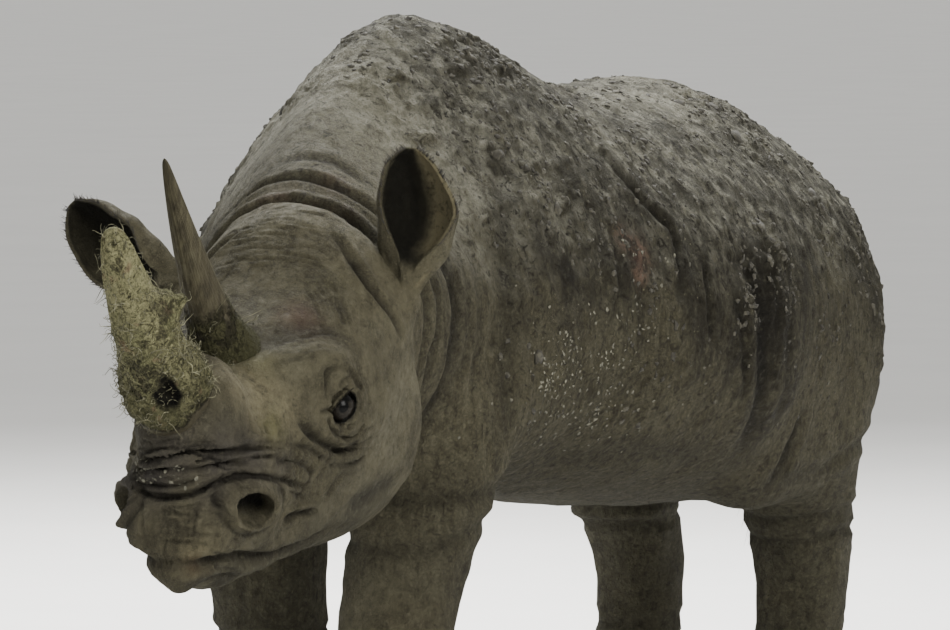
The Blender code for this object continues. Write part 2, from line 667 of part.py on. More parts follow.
flesh = flesh_mesh()
pieces = part_flesh(flesh)
for sign in (1, -1):
    (a, out, up), radii = NOSTRIL
    hollow = head_ball((a, sign * out, up), radii, *NOSTRIL_FACETS)
    pieces["head"] = boolean(pieces["head"], hollow, "DIFFERENCE")
sink(pieces, "head", "horn_front", horn_mesh(*HORN_FRONT, HORN_FRONT_TAPER))
sink(pieces, "head", "horn_rear", horn_mesh(*HORN_REAR, HORN_REAR_TAPER))
for side, sign in (("left", 1), ("right", -1)):
    sink(pieces, "head", "ear_" + side, ear_mesh(side), ear_mesh(side, EAR_CLEARANCE))
    sink(pieces, "head", "eye_" + side, eye_mesh(sign))
sink(pieces, "trunk", "tail", tail_mesh())
for leg in LEGS:
    for nail, turn in NAILS.items():
        sink(pieces, "leg_" + leg, "nail_" + leg + "_" + nail, nail_mesh(leg, turn))
centred(pieces)
FINISHES = {"horn": HORN, "eye": EYE, "nail": NAIL}
for name, mesh in pieces.items():
    place(name, mesh, FINISHES.get(name.split("_")[0], SKIN))
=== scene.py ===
import json
from math import cos, pi, radians, sin, sqrt
import bmesh
import bpy
import numpy as np
from mathutils import Matrix, Vector, noise
from mathutils.bvhtree import BVHTree
from mathutils.kdtree import KDTree

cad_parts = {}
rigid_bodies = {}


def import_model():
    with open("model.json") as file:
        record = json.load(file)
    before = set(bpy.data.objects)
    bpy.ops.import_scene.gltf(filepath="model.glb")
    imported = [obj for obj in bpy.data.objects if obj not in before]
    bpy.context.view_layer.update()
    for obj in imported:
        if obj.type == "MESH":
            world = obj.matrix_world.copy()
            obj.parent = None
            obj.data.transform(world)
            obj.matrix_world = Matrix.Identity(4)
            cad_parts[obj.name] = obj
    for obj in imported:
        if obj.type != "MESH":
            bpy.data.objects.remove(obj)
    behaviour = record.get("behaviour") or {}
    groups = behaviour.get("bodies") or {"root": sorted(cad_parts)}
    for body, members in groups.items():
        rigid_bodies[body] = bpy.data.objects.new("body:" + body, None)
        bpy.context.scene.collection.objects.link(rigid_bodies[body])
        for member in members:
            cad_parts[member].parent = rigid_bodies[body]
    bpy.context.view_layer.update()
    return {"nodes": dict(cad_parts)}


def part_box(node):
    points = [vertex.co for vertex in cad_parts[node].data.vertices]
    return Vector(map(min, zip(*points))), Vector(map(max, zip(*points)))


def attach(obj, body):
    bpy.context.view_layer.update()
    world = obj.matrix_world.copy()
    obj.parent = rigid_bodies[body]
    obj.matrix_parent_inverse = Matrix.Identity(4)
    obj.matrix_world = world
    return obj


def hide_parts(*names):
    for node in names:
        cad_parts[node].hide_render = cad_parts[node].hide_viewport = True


# Black rhinoceros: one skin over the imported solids, with horns, eyes, nails, mud and hair of their own.
# Metres, +Z up. The animal faces -X and its left side is towards -Y.

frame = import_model()
print("frame loaded")

headPose = {
    "origin": Vector((-0.785, -0.215, 1.03)),  # nape end of the head, before the model was centred
    "yaw": 6.0, "pitch": 27.0, "roll": -1.0,  # degrees
    "scale": 1.045,
    "eye": (0.325, 0.158, -0.026),  # along, out to the left, up
}


def headAxes():
    yaw, pitch, roll = (radians(headPose[k]) for k in ("yaw", "pitch", "roll"))
    along = Vector((-cos(pitch) * cos(yaw), -cos(pitch) * sin(yaw), -sin(pitch)))
    left = Vector((sin(yaw), -cos(yaw), 0))
    up = left.cross(along)
    up = up if up.z > 0 else -up
    return along, left * cos(roll) + up * sin(roll), up * cos(roll) - left * sin(roll)


along, left, up = headAxes()
headBasis = np.array([along, left, up])
sideways = Vector((0, 1, 0))
sides = ("left", "right")
signs = {"left": 1, "right": -1}


def middleOf(node):
    low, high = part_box(node)
    return (low + high) / 2


def fromOrigin(a, out, h):
    return headPose["origin"] + headPose["scale"] * (along * a + left * out + up * h)


centring = middleOf("eye_left") - fromOrigin(*headPose["eye"])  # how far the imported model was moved


def headPoint(a, out, h):
    return fromOrigin(a, out, h) + centring


def bodyPoint(x, y, z):
    return Vector((x, y, z)) + centring


def headCoords(points):
    return (points - np.array(headPoint(0, 0, 0))) @ headBasis.T / headPose["scale"]


def smoothRows(rows, count):
    rows = np.array(rows, float)
    padded = np.vstack([2 * rows[0] - rows[1], rows, 2 * rows[-1] - rows[-2]])
    made = []
    for t in np.linspace(0, len(rows) - 1, count):
        i = min(int(t), len(rows) - 2)
        f = t - i
        p0, p1, p2, p3 = padded[i:i + 4]
        made.append(0.5 * (2 * p1 + (p2 - p0) * f + (2 * p0 - 5 * p1 + 4 * p2 - p3) * f ** 2
                           + (3 * p1 - p0 - 3 * p2 + p3) * f ** 3))
    return np.array(made)


def ease(value, low, high):
    t = np.clip((np.asarray(value, float) - low) / (high - low), 0, 1)
    return t * t * (3 - 2 * t)


def bell(value, width):
    return np.exp(-(np.asarray(value, float) / width) ** 2)


def spotSum(points, spots):
    amount = np.zeros(len(points))
    for place, width, strength in spots:
        width = np.array(width) * np.ones(3)
        amount = np.maximum(amount, strength * np.exp(-(((points - np.array(place)) / width) ** 2).sum(1)))
    return amount


def noiseAt(points, scale, seed=0, octaves=3):
    shift = Vector((seed * 7.31, seed * 3.77, seed * 1.93))
    return np.array([noise.fractal(Vector(p) * scale + shift, 1.0, 2.0, octaves) for p in points])


def pointsOf(mesh):
    flat = np.empty(len(mesh.vertices) * 3)
    mesh.vertices.foreach_get("co", flat)
    return flat.reshape(-1, 3)


def setPoints(mesh, points):
    mesh.vertices.foreach_set("co", np.asarray(points).ravel())
    mesh.update()


def normalsOf(mesh):
    flat = np.empty(len(mesh.vertices) * 3)
    mesh.vertex_normals.foreach_get("vector", flat)
    return flat.reshape(-1, 3)


def edgesOf(mesh):
    flat = np.empty(len(mesh.edges) * 2, int)
    mesh.edges.foreach_get("vertices", flat)
    return flat.reshape(-1, 2)


def trianglesOf(mesh):
    return sum(len(face.vertices) - 2 for face in mesh.polygons)


def spread(points, edges, steps, weight=1.0, keepVolume=False):
    # evens out the points along the edges; weight says where
    count = len(points)
    ends, others = np.concatenate([edges, edges[:, ::-1]]).T
    degree = np.maximum(np.bincount(ends, minlength=count), 1)[:, None]
    points = points.copy()
    weight = np.asarray(weight, float)
    weight = weight[:, None] if weight.ndim else weight
    for step in range(steps):
        for pull in ((0.5, -0.52) if keepVolume else (0.5,)):
            mean = np.stack([np.bincount(ends, weights=points[others, k], minlength=count) for k in range(3)], 1)
            points += weight * pull * (mean / degree - points)
    return points


def evened(mesh, steps, region):
    points = pointsOf(mesh)
    setPoints(mesh, spread(points, edgesOf(mesh), steps, region(points)))


def formOf(mesh):
    form = bmesh.new()
    form.from_mesh(mesh)
    return form


def meshOf(form, target):
    # target: a mesh, or the name of a new one
    mesh = bpy.data.meshes.new(target) if isinstance(target, str) else target
    form.to_mesh(mesh)
    form.free()
    return mesh


def meshFrom(name, points, faces):
    mesh = bpy.data.meshes.new(name)
    mesh.from_pydata([tuple(p) for p in points], [], faces)
    mesh.validate()
    mesh.update()
    return mesh


def ringAt(middle, side, other, size):
    # three points round the middle
    turns = (2 * pi * c / 3 for c in range(3))
    return [middle + side * size * cos(a) + other * size * sin(a) for a in turns]


def ringFaces(rows, columns, first=0):
    faces = []
    for r in range(rows - 1):
        for c in range(columns):
            n = (c + 1) % columns
            a = first + r * columns
            faces.append((a + c, a + n, a + columns + n, a + columns + c))
    return faces


def loft(name, rings):
    # closed form through rings of equal count, with a fan over each end
    rows, columns = len(rings), len(rings[0])
    points = [p for ring in rings for p in ring]
    faces = ringFaces(rows, columns)
    for row, flip in ((0, True), (rows - 1, False)):
        middle = len(points)
        points.append(sum((Vector(p) for p in rings[row]), Vector()) / columns)
        for c in range(columns):
            pair = (row * columns + c, row * columns + (c + 1) % columns)
            faces.append((pair[1], pair[0], middle) if flip else (pair[0], pair[1], middle))
    return facedOut(meshFrom(name, points, faces))


def facedOut(mesh):
    form = formOf(mesh)
    bmesh.ops.recalc_face_normals(form, faces=form.faces)
    return meshOf(form, mesh)


def inScene(name, mesh):
    obj = bpy.data.objects.new(name, mesh)
    bpy.context.scene.collection.objects.link(obj)
    return obj


def plainMesh(obj):
    graph = bpy.context.evaluated_depsgraph_get()
    graph.update()
    return bpy.data.meshes.new_from_object(obj.evaluated_get(graph))


def afterModifier(mesh, kind, **settings):
    obj = inScene("work", mesh)
    modifier = obj.modifiers.new("work", kind)
    for key, value in settings.items():
        setattr(modifier, key, value)
    made = plainMesh(obj)
    bpy.data.objects.remove(obj)
    return made


def joined(mesh, other):
    # the union of two closed meshes
    tool = inScene("tool", other)
    made = afterModifier(mesh, "BOOLEAN", object=tool, operation="UNION", solver="MANIFOLD")
    if len(made.vertices) < len(mesh.vertices):
        made = afterModifier(mesh, "BOOLEAN", object=tool, operation="UNION", solver="EXACT")
    bpy.data.objects.remove(tool)
    return made


def ellipsoid(centre, axes, radii, segments=24, rings=16):
    form = bmesh.new()
    bmesh.ops.create_uvsphere(form, u_segments=segments, v_segments=rings, radius=1)
    for vertex in form.verts:
        vertex.co = centre + sum((Vector(a) * c * r for a, c, r in zip(axes, vertex.co, radii)), Vector())
    bmesh.ops.recalc_face_normals(form, faces=form.faces)
    return meshOf(form, "ellipsoid")


def markOn(mesh, name, values):
    layer = mesh.attributes.get(name) or mesh.attributes.new(name, "FLOAT", "POINT")
    layer.data.foreach_set("value", np.asarray(values, np.float32))


def finishPiece(obj, material, replaced=()):
    obj.data.materials.clear()
    obj.data.materials.append(material)
    obj.data.shade_smooth()
    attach(obj, "root")
    if replaced:
        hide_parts(*replaced)
    return obj


def feed(tree, slot, value):
    if isinstance(value, Wire):
        tree.links.new(value.socket, slot)
    else:
        slot.default_value = value


class Wire:
    def __init__(self, tree, socket):
        self.tree, self.socket = tree, socket

    def math(self, operation, other, swap=False):
        node = self.tree.nodes.new("ShaderNodeMath")
        node.operation = operation
        for slot, value in zip(node.inputs, (other, self) if swap else (self, other)):
            feed(self.tree, slot, value)
        return Wire(self.tree, node.outputs[0])

    def __add__(self, other):
        return self.math("ADD", other)

    def __mul__(self, other):
        return self.math("MULTIPLY", other)

    def __sub__(self, other):
        return self.math("SUBTRACT", other)

    def __rsub__(self, other):
        return self.math("SUBTRACT", other, swap=True)

    def least(self, other):
        return self.math("MINIMUM", other)

    __radd__, __rmul__ = __add__, __mul__


class Finish:
    def __init__(self, name):
        self.material = bpy.data.materials.new(name)
        self.material.use_nodes = True
        self.tree = self.material.node_tree
        self.shader = self.tree.nodes["Principled BSDF"]

    def node(self, kind, settings=None, output=0, **sockets):
        # sockets by name, or by place as n0, n1 and so on
        made = self.tree.nodes.new(kind)
        for key, value in (settings or {}).items():
            setattr(made, key, value)
        for key, value in sockets.items():
            slot = int(key[1:]) if key[1:].isdigit() else key
            feed(self.tree, made.inputs[slot], value)
        return Wire(self.tree, made.outputs[output])

    def place(self, scale=(1, 1, 1), location=(0, 0, 0)):
        coords = self.node("ShaderNodeTexCoord", output=3)
        return self.node("ShaderNodeMapping", Vector=coords, Scale=scale, Location=location)

    def mark(self, name):
        return self.node("ShaderNodeAttribute", {"attribute_name": name}, 2)

    def noise(self, scale, place=None, detail=5.0, rough=0.55, warp=0.0, output=0):
        return self.node("ShaderNodeTexNoise", {"noise_dimensions": "3D"}, output, Vector=place or self.place(),
                         Scale=scale, Detail=detail, Roughness=rough, Distortion=warp)

    def shifted(self, place, colour, amount):
        vectors = "ShaderNodeVectorMath"
        moved = self.node(vectors, {"operation": "SUBTRACT"}, n0=colour, n1=(0.5, 0.5, 0.5))
        scaled = self.node(vectors, {"operation": "SCALE"}, n0=moved, Scale=amount)
        return self.node(vectors, {"operation": "ADD"}, n0=place, n1=scaled)

    def cells(self, scale, place):
        return self.node("ShaderNodeTexVoronoi", {"feature": "DISTANCE_TO_EDGE"}, Vector=place, Scale=scale,
                         Randomness=1.0)

    def span(self, value, low, high, start=0.0, end=1.0):
        return self.node("ShaderNodeMapRange", {"interpolation_type": "SMOOTHSTEP", "clamp": True}, Value=value,
                         n1=low, n2=high, n3=start, n4=end)

    def blend(self, factor, first, second):
        first, second = (c if isinstance(c, Wire) else (*c, 1.0) for c in (first, second))
        return self.node("ShaderNodeMix", {"data_type": "RGBA", "clamp_factor": True}, 2, n0=factor, n6=first,
                         n7=second)

    def layered(self, colour, look, *layers):
        # each layer: how much of it lies over those before, and the name of its colour
        for share, coat in layers:
            colour = self.blend(share, colour, look[coat])
        return colour

    def bump(self, height, distance, strength=1.0, under=None):
        made = self.node("ShaderNodeBump", Height=height, Distance=distance, Strength=strength)
        if under:
            feed(self.tree, made.socket.node.inputs["Normal"], under)
        return made

    def done(self, colour, roughness, normal=None, specular=None):
        for name, value in (("Base Color", colour), ("Roughness", roughness), ("Normal", normal),
                            ("Specular IOR Level", specular)):
            if value is not None:
                feed(self.tree, self.shader.inputs[name], value)
        return self.material


hideLook = {
    "hide": (0.068, 0.0615, 0.0385),  # dry grey-brown hide
    "dust": (0.116, 0.109, 0.072),  # on the high places
    # dark of the hide's cracks, and painted shade in the creases
    "cracksAndCreaseShade": (0.008, 0.007, 0.006),
    "mud": (0.042, 0.038, 0.026),
    "driedMudAndTopLight": (0.305, 0.295, 0.238),  # dried mud on the back, and painted top light
    "wetMud": (0.016, 0.014, 0.010),
    "rose": (0.085, 0.048, 0.036),
    "stain": (0.085, 0.082, 0.030),
    # ochre patches, and painted light on the lit inner wall of the near ear
    "ochreAndEarLight": (0.158, 0.138, 0.082),
    "pale": (0.126, 0.118, 0.082),
    "sore": (0.190, 0.125, 0.090),
    "muzzle": (0.034, 0.030, 0.030),
    "lip": (0.060, 0.034, 0.016),
    # painted shade in the ear hollows, nostrils and eye openings
    "inside": (0.0035, 0.0032, 0.0022),
    "shade": (0.020, 0.019, 0.014),
    "roughness": (0.60, 0.92),
}


def hideMaterial():
    f = Finish("hide")
    look = {**hideLook, "lighter": tuple(c * 1.25 for c in hideLook["hide"]),
            "fleck": tuple(c * 1.9 for c in hideLook["dust"])}
    creaseShade, mud, face = f.mark("creaseShade"), f.mark("mud"), f.mark("face")
    body, outside, muddy = 1 - face, 1 - f.mark("inside"), mud.least(1.0)
    place = f.place()
    warped = f.shifted(place, f.noise(14.0, place, detail=3.0, rough=0.5, output=1), 0.035)
    broad = f.noise(2.2, place, detail=4)
    patch = f.noise(9.0, place, detail=6, rough=0.62)
    fine = f.noise(70.0, place, detail=7, rough=0.72)
    grit = f.noise(300.0, place, detail=4, rough=0.7)
    clump = f.noise(26.0, f.place(scale=(1, 1, 0.8)), detail=9, rough=0.74, warp=0.5)
    streak = f.noise(18.0, f.place(scale=(1.8, 1.8, 0.16)), detail=7, rough=0.66)
    grain = f.noise(46.0, f.place(scale=(1.5, 1.5, 0.42)), detail=6, rough=0.68, warp=0.4)
    crumb = f.noise(58.0, place, detail=6, rough=0.75, warp=0.7)
    dots = f.noise(130.0, place, detail=2, rough=0.5)
    ridge = f.span(f.cells(115.0, warped), 0.0, 0.34)
    smallRidge = f.span(f.cells(210.0, warped), 0.0, 0.36)
    faceCracks = f.span(f.noise(22.0, place, detail=3), 0.42, 0.62) * face
    gritty = (mud * 0.50 + 0.24 + 0.32 * body + f.mark("grain") * 0.4).least(1.0)
    colour = f.layered(
        look["hide"], look,
        (f.span(broad, 0.35, 0.68), "lighter"),
        (f.span(patch, 0.46, 0.72) * 0.45, "dust"),
        (f.span(grain, 0.48, 0.64) * 0.62 * body, "dust"),
        (f.span(grain, 0.45, 0.31) * 0.60 * body, "wetMud"),
        ((1 - ridge) * 0.30 * body, "cracksAndCreaseShade"),
        ((1 - smallRidge) * 0.35 * (faceCracks + 0.25 * face), "cracksAndCreaseShade"),
        (f.span(clump + mud * 0.42, 0.62, 0.84) * muddy * 0.85, "mud"),
        # dried mud, and painted top light, on the upward faces of the back
        (f.mark("dryMudAndTopLight") * f.span(clump, 0.30, 0.62) * 0.8, "driedMudAndTopLight"),
        (f.span(clump, 0.43, 0.31) * 0.50 * body, "wetMud"),
        (f.span(crumb, 0.48, 0.36) * gritty, "wetMud"),
        (f.span(crumb, 0.53, 0.65) * gritty * 0.70, "dust"),
        (f.span(streak + mud * 0.25, 0.60, 0.80) * muddy * 0.65, "wetMud"),
        (f.mark("wet") * f.span(clump, 0.30, 0.58), "wetMud"),
        (f.mark("shade") * f.span(patch, 0.20, 0.60), "shade"),
        (f.mark("pale") * f.span(fine, 0.20, 0.66), "pale"),
        (f.mark("sore") * f.span(crumb, 0.44, 0.56), "sore"),
        # ochre patches, and painted light on the near ear's lit inner wall
        (f.mark("ochreAndEarLight") * f.span(fine, 0.25, 0.62), "ochreAndEarLight"),
        (f.mark("rose") * f.span(patch, 0.34, 0.62), "rose"),
        (f.mark("stain") * f.span(patch, 0.34, 0.62), "stain"),
        (f.mark("muzzle") * 0.85, "muzzle"),
        (f.mark("lip"), "lip"),
        # painted shade in the sculpted creases, grooves and leg rings
        (creaseShade.least(1.0) * 0.80, "cracksAndCreaseShade"),
        # painted shade in the ear hollows, nostrils and eye openings
        (f.mark("inside"), "inside"),
        (f.span(dots, 0.68, 0.74) * f.span(patch, 0.50, 0.62) * (mud * 0.7 + 0.1) * outside, "fleck"),
        (f.span(fine, 0.54, 0.70) * 0.35 * outside, "dust"),
        (f.span(fine, 0.46, 0.32) * 0.35, "cracksAndCreaseShade"))
    low, high = look["roughness"]
    roughness = high - f.span(fine, 0.4, 0.7) * (high - low) * 0.6
    relief = [  # height, distance and strength, from the coarsest
        (ridge * body * 0.8 + smallRidge * (faceCracks * 0.7 + 0.18 * face), 0.0028, 0.8),
        (clump * (muddy + 0.12) * 1.7, 0.034, 1.0),
        (grain, 0.014, 0.9),
        (crumb * (muddy + 0.14 + f.mark("grain") * 0.35), 0.020, 1.0),
        (fine, 0.0085, 0.9),
        (grit, 0.0020, 0.9),
    ]
    normal = None
    for height, distance, strength in relief:
        normal = f.bump(height, distance, strength, normal)
    return f.done(colour, roughness, normal, 0.12)


print("tools ready")

skinShape = {
    "flesh": ["head", "neck", "trunk", "leg_fore_left", "leg_fore_right", "leg_hind_left", "leg_hind_right"],
    "swell": 0.0007,  # closes the cuts between the solids
    "voxel": 0.016,
    "evening": 70,  # rounds that even out the facets
    "soleBand": 0.006,
    "headReach": 0.30,  # finer mesh this far behind the nape
    "eyeReach": 0.085,
    "tailRoot": ((0.12, -0.05), (0.12, 0.055, 0.05)),  # back from the tail's front, up from its top, half sizes
    "most": 192000,  # triangles kept
}
softened = [  # forms of the solids that the hide evens out: places on the left as bodyPoint takes them, and reach
    ((0.10, -0.36, 0.93), (0.15, 0.25, 0.30)),
    ((1.05, -0.40, 0.95), (0.17, 0.25, 0.32)),
]
fillers = [  # place in the head's frame, radii along, out and up: they close the pockets
    ((0.030, 0.160, 0.000), (0.050, 0.050, 0.055)),
    ((0.030, -0.180, 0.010), (0.050, 0.050, 0.050)),
    ((0.625, 0.092, -0.052), (0.040, 0.030, 0.034)),
    ((0.625, -0.092, -0.052), (0.040, 0.030, 0.034)),
]
hornShape = {  # base in the head's frame, length, half sizes fore and aft and across, lean and curl in degrees
    "front": {
        "base": (0.548, 0.0, 0.060), "length": 0.48, "radii": (0.108, 0.092), "lean": 31, "curl": 30, "stray": -3.0,
        "taper": [(0, 1), (0.1, 0.90), (0.2, 0.72), (0.4, 0.56), (0.65, 0.43), (0.88, 0.30), (1, 0.14)],
        "collar": (0.044, 0.119, 0.105, 0.084)},  # rise, then half sizes of the skin that wraps its foot
    "rear": {
        "base": (0.372, 0.0, 0.058), "length": 0.46, "radii": (0.080, 0.068), "lean": 16, "curl": 14, "stray": -2.4,
        "taper": [(0, 1), (0.1, 0.88), (0.2, 0.66), (0.4, 0.48), (0.65, 0.32), (0.88, 0.16), (1, 0.05)],
        "collar": (0.000, 0.086, 0.074, 0.055)},
}


def hornAxes(spec, t):
    tilt, stray = radians(spec["lean"] - spec["curl"] * t), radians(spec["stray"])
    way = (up * cos(tilt) + along * sin(tilt) + left * sin(stray)).normalized()
    fore = along * cos(tilt) - up * sin(tilt)
    return way, fore


def alongHorn(spec, shares):
    # place, way and fore at each share of the length
    place, done = headPoint(*spec["base"]), 0.0
    for share in shares:
        way, fore = hornAxes(spec, max(share, 0))
        place = place + way * spec["length"] * (share - done)
        done = share
        yield share, place, way, fore


def mergedNode(name, swell):
    form = formOf(frame["nodes"][name].data)
    bmesh.ops.remove_doubles(form, verts=form.verts, dist=1e-5)
    form.normal_update()
    shifts = [v.normal * swell for v in form.verts]
    for vertex, move in zip(form.verts, shifts):
        vertex.co += move
    return meshOf(form, name + "Copy")


def fusedFlesh():
    form = bmesh.new()
    for name in skinShape["flesh"]:
        form.from_mesh(mergedNode(name, skinShape["swell"]))
    for place, radii in fillers:
        form.from_mesh(ellipsoid(headPoint(*place), (along, left, up), radii))
    for spec in hornShape.values():
        way, fore = hornAxes(spec, 0)
        rise, *radii = spec["collar"]
        form.from_mesh(ellipsoid(headPoint(*spec["base"]) + way * rise, (fore, left, way), radii))
    low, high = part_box("tail")
    (onward, lower), radii = skinShape["tailRoot"]
    root = Vector((low.x + onward, middleOf("tail").y, high.z + lower))
    form.from_mesh(ellipsoid(root, ((1, 0, 0), (0, 1, 0), (0, 0, 1)), radii))
    for side in sides:
        form.from_mesh(mergedNode("eye_" + side, 0.001))
    return afterModifier(meshOf(form, "flesh"), "REMESH", mode="VOXEL", voxel_size=skinShape["voxel"],
                         use_smooth_shade=True)


def biggestBody(mesh):
    form = formOf(mesh)
    seen, bodies = set(), []
    for start in form.verts:
        if start.index in seen:
            continue
        stack, body = [start], []
        seen.add(start.index)
        while stack:
            vertex = stack.pop()
            body.append(vertex)
            for edge in vertex.link_edges:
                other = edge.other_vert(vertex)
                if other.index not in seen:
                    seen.add(other.index)
                    stack.append(other)
        bodies.append(body)
    bodies.sort(key=len)
    bmesh.ops.delete(form, geom=[v for body in bodies[:-1] for v in body], context="VERTS")
    return meshOf(form, mesh)


def finer(mesh, inside):
    # splits the faces whose corners all lie inside
    form = formOf(mesh)
    chosen = inside(pointsOf(mesh))
    picked = [e for e in form.edges if chosen[e.verts[0].index] and chosen[e.verts[1].index]]
    bmesh.ops.subdivide_edges(form, edges=picked, cuts=1, use_grid_fill=True)
    bmesh.ops.triangulate(form, faces=[f for f in form.faces if len(f.verts) > 4])
    return meshOf(form, mesh)


def nearHead(points):
    q = headCoords(points)
    return (q[:, 0] > -skinShape["headReach"]) & (np.abs(q[:, 1]) < 0.42) & (q[:, 0] < 1)


def onFace(points):
    q = headCoords(points)
    face = (q[:, 0] > 0.24) & (q[:, 2] > -0.20) & (np.abs(q[:, 1]) < 0.3)
    crown = (q[:, 0] > -0.16) & (q[:, 2] > -0.02) & (q[:, 1] > -0.2) & (q[:, 1] < 0.25)
    return face | crown


def nearMuzzle(points):
    q = headCoords(points)
    return (q[:, 0] > 0.50) & (q[:, 2] > -0.09) & (q[:, 2] < 0.14) & (q[:, 1] > -0.12)


def nearEyes(points):
    gaps = [np.linalg.norm(points - np.array(middleOf("eye_" + s)), axis=1) for s in sides]
    return np.minimum(*gaps) < skinShape["eyeReach"]


earShape = {
    "length": 0.26, "wall": 0.008, "arc": 108, "close": 56, "cup": 0.72, "lip": 0.44, "crown": 0.3, "turn": 0.75,
    "rows": 46, "wraps": 29,
    "left": ((0.030, 0.168, 0.008), (0.12, -0.35, 1.0), (0.12, -0.02, 1.0), (-0.90, -0.44, 0.05)),
    "right": ((0.030, -0.195, 0.020), (-0.30, 1.0, 0.10), (-0.20, 0.85, 1.0), (-0.95, 0.30, 0.10)),
    "rings": [  # share of the length, half width, hollowness
        (0.00, 0.030, 0.0), (0.14, 0.040, 0.0), (0.24, 0.052, 0.35), (0.36, 0.063, 0.85), (0.50, 0.069, 1.0),
        (0.66, 0.068, 1.0), (0.80, 0.057, 1.0), (0.90, 0.041, 1.0), (0.97, 0.022, 0.8), (1.00, 0.009, 0.0)],
    "skew": 0.020,  # how far the left tip sits towards the nape
    "ribs": 0.0022,  # height of the ridges inside the cup
}


def earFrames(side):
    base, start, way, opening = earShape[side]
    start, way, opening = (Vector(v).normalized() for v in (start, way, opening))
    placeNow, done = headPoint(*base), 0.0
    for share, width, hollow in smoothRows(earShape["rings"], earShape["rows"]):
        axis = start.lerp(way, min(1, share / earShape["turn"])).normalized()
        face = (opening - axis * opening.dot(axis)).normalized()
        placeNow = placeNow + axis * earShape["length"] * (share - done)
        done = share
        across = axis.cross(face)
        shift = across * -earShape["skew"] * float(ease(share, 0.55, 0.95)) * (1 if side == "left" else 0)
        yield share, max(width, 0.004), min(1, max(0, hollow)), placeNow + shift, axis, face, across


def earMesh(side):
    rings, rim = [], []
    for share, width, hollow, middle, axis, face, across in earFrames(side):
        deep = width * earShape["cup"]
        arc = earShape["arc"] + earShape["close"] * (1 - float(ease(share, 0.20, 0.62)))
        wrap = np.radians(np.linspace(-arc, arc, earShape["wraps"]))
        wave = 1 + 0.03 * sin(share * 21 + (1 if side == "left" else 2))
        width *= wave
        outer = [middle + across * width * sin(a) - face * deep * cos(a) for a in wrap]
        outer = [p + (p - middle).normalized() * 0.0012 * sin(7 * a + 9 * share) for p, a in zip(outer, wrap)]
        inner = []
        for a in wrap[::-1]:
            rib = earShape["ribs"] * (1 - abs(a) / radians(arc)) * sin(6 * a) * hollow
            wall = earShape["wall"] + rib
            shell = middle + across * (width - wall) * sin(a) - face * (deep - wall) * cos(a)
            t = 0.5 + earShape["lip"] * a / radians(arc)
            chord = outer[0].lerp(outer[-1], t) + face * width * earShape["crown"] * (1 - (2 * t - 1) ** 2)
            inner.append(chord.lerp(shell, hollow))
        rings.append(outer + inner)
        rim.append((share, outer[0], outer[-1], across, face, axis))
    return loft("ear", rings), rim


tailShape = {
    "rows": [  # x, y, z, half width across, half width fore and aft
        (1.60, 0.00, 1.075, 0.048, 0.040), (1.72, 0.00, 1.06, 0.046, 0.040), (1.795, 0.00, 0.98, 0.034, 0.032),
        (1.815, 0.005, 0.86, 0.026, 0.024), (1.820, 0.01, 0.72, 0.021, 0.018), (1.818, 0.012, 0.60, 0.017, 0.014),
        (1.816, 0.012, 0.53, 0.022, 0.012), (1.816, 0.012, 0.47, 0.020, 0.011), (1.818, 0.012, 0.43, 0.008, 0.006)],
    "count": 90, "sides": 16, "ring": 0.0012,
}


def tailRows():
    rows = smoothRows(tailShape["rows"], tailShape["count"])
    for k, row in enumerate(rows):
        before, after = rows[max(k - 1, 0)], rows[min(k + 1, len(rows) - 1)]
        way = Vector(after[:3] - before[:3]).normalized()
        yield k, bodyPoint(*row[:3]), sideways.cross(way).normalized(), way, row[3], row[4]


def tailMesh():
    rings = []
    angles = [2 * pi * c / tailShape["sides"] for c in range(tailShape["sides"])]
    for k, centre, fore, way, across, deep in tailRows():
        wrinkle = 1 + tailShape["ring"] * sin(k * 2.1) / across
        rings.append([centre + sideways * across * wrinkle * cos(a) + fore * deep * wrinkle * sin(a) for a in angles])
    return loft("tail", rings)


skinMesh = biggestBody(fusedFlesh())
print("flesh fused:", len(skinMesh.vertices), "points")
points, edges = pointsOf(skinMesh), edgesOf(skinMesh)
soles = points[:, 2] < skinShape["soleBand"]
headness = ease(headCoords(points)[:, 0], -0.10, 0.10)
points = spread(points, edges, skinShape["evening"], 1 - 0.75 * headness, keepVolume=True)
points = spread(points, edges, 3)
for place, reach in softened:
    for turn in (1, -1):
        near = spotSum(points - np.array(centring), [((place[0], place[1] * turn, place[2]), reach, 1.0)])
        points = spread(points, edges, 110, np.minimum(near * 1.6, 1) * (near > 0.05))
points[soles, 2] = 0
setPoints(skinMesh, points)
skinMesh = finer(skinMesh, nearHead)
for region, steps in ((onFace, 4), (nearMuzzle, 3), (nearEyes, 3)):
    evened(skinMesh, steps, nearHead)
    skinMesh = finer(skinMesh, region)
evened(skinMesh, 3, onFace)
print("skin refined:", len(skinMesh.vertices), "points")

rims = {}
for side in sides:
    ear, rims[side] = earMesh(side)
    skinMesh = joined(skinMesh, ear)
skinMesh = biggestBody(joined(skinMesh, tailMesh()))
print("ears and tail joined:", len(skinMesh.vertices), "points")
points, edges = pointsOf(skinMesh), edgesOf(skinMesh)
for side in sides:
    root = np.array(headPoint(*earShape[side][0]))
    points = spread(points, edges, 8, bell(np.linalg.norm(points - root, axis=1), 0.07) ** 2)
tailRoot = np.array(bodyPoint(1.66, 0, 1.06))
points = spread(points, edges, 8, bell(np.linalg.norm(points - tailRoot, axis=1), 0.09))
setPoints(skinMesh, points)

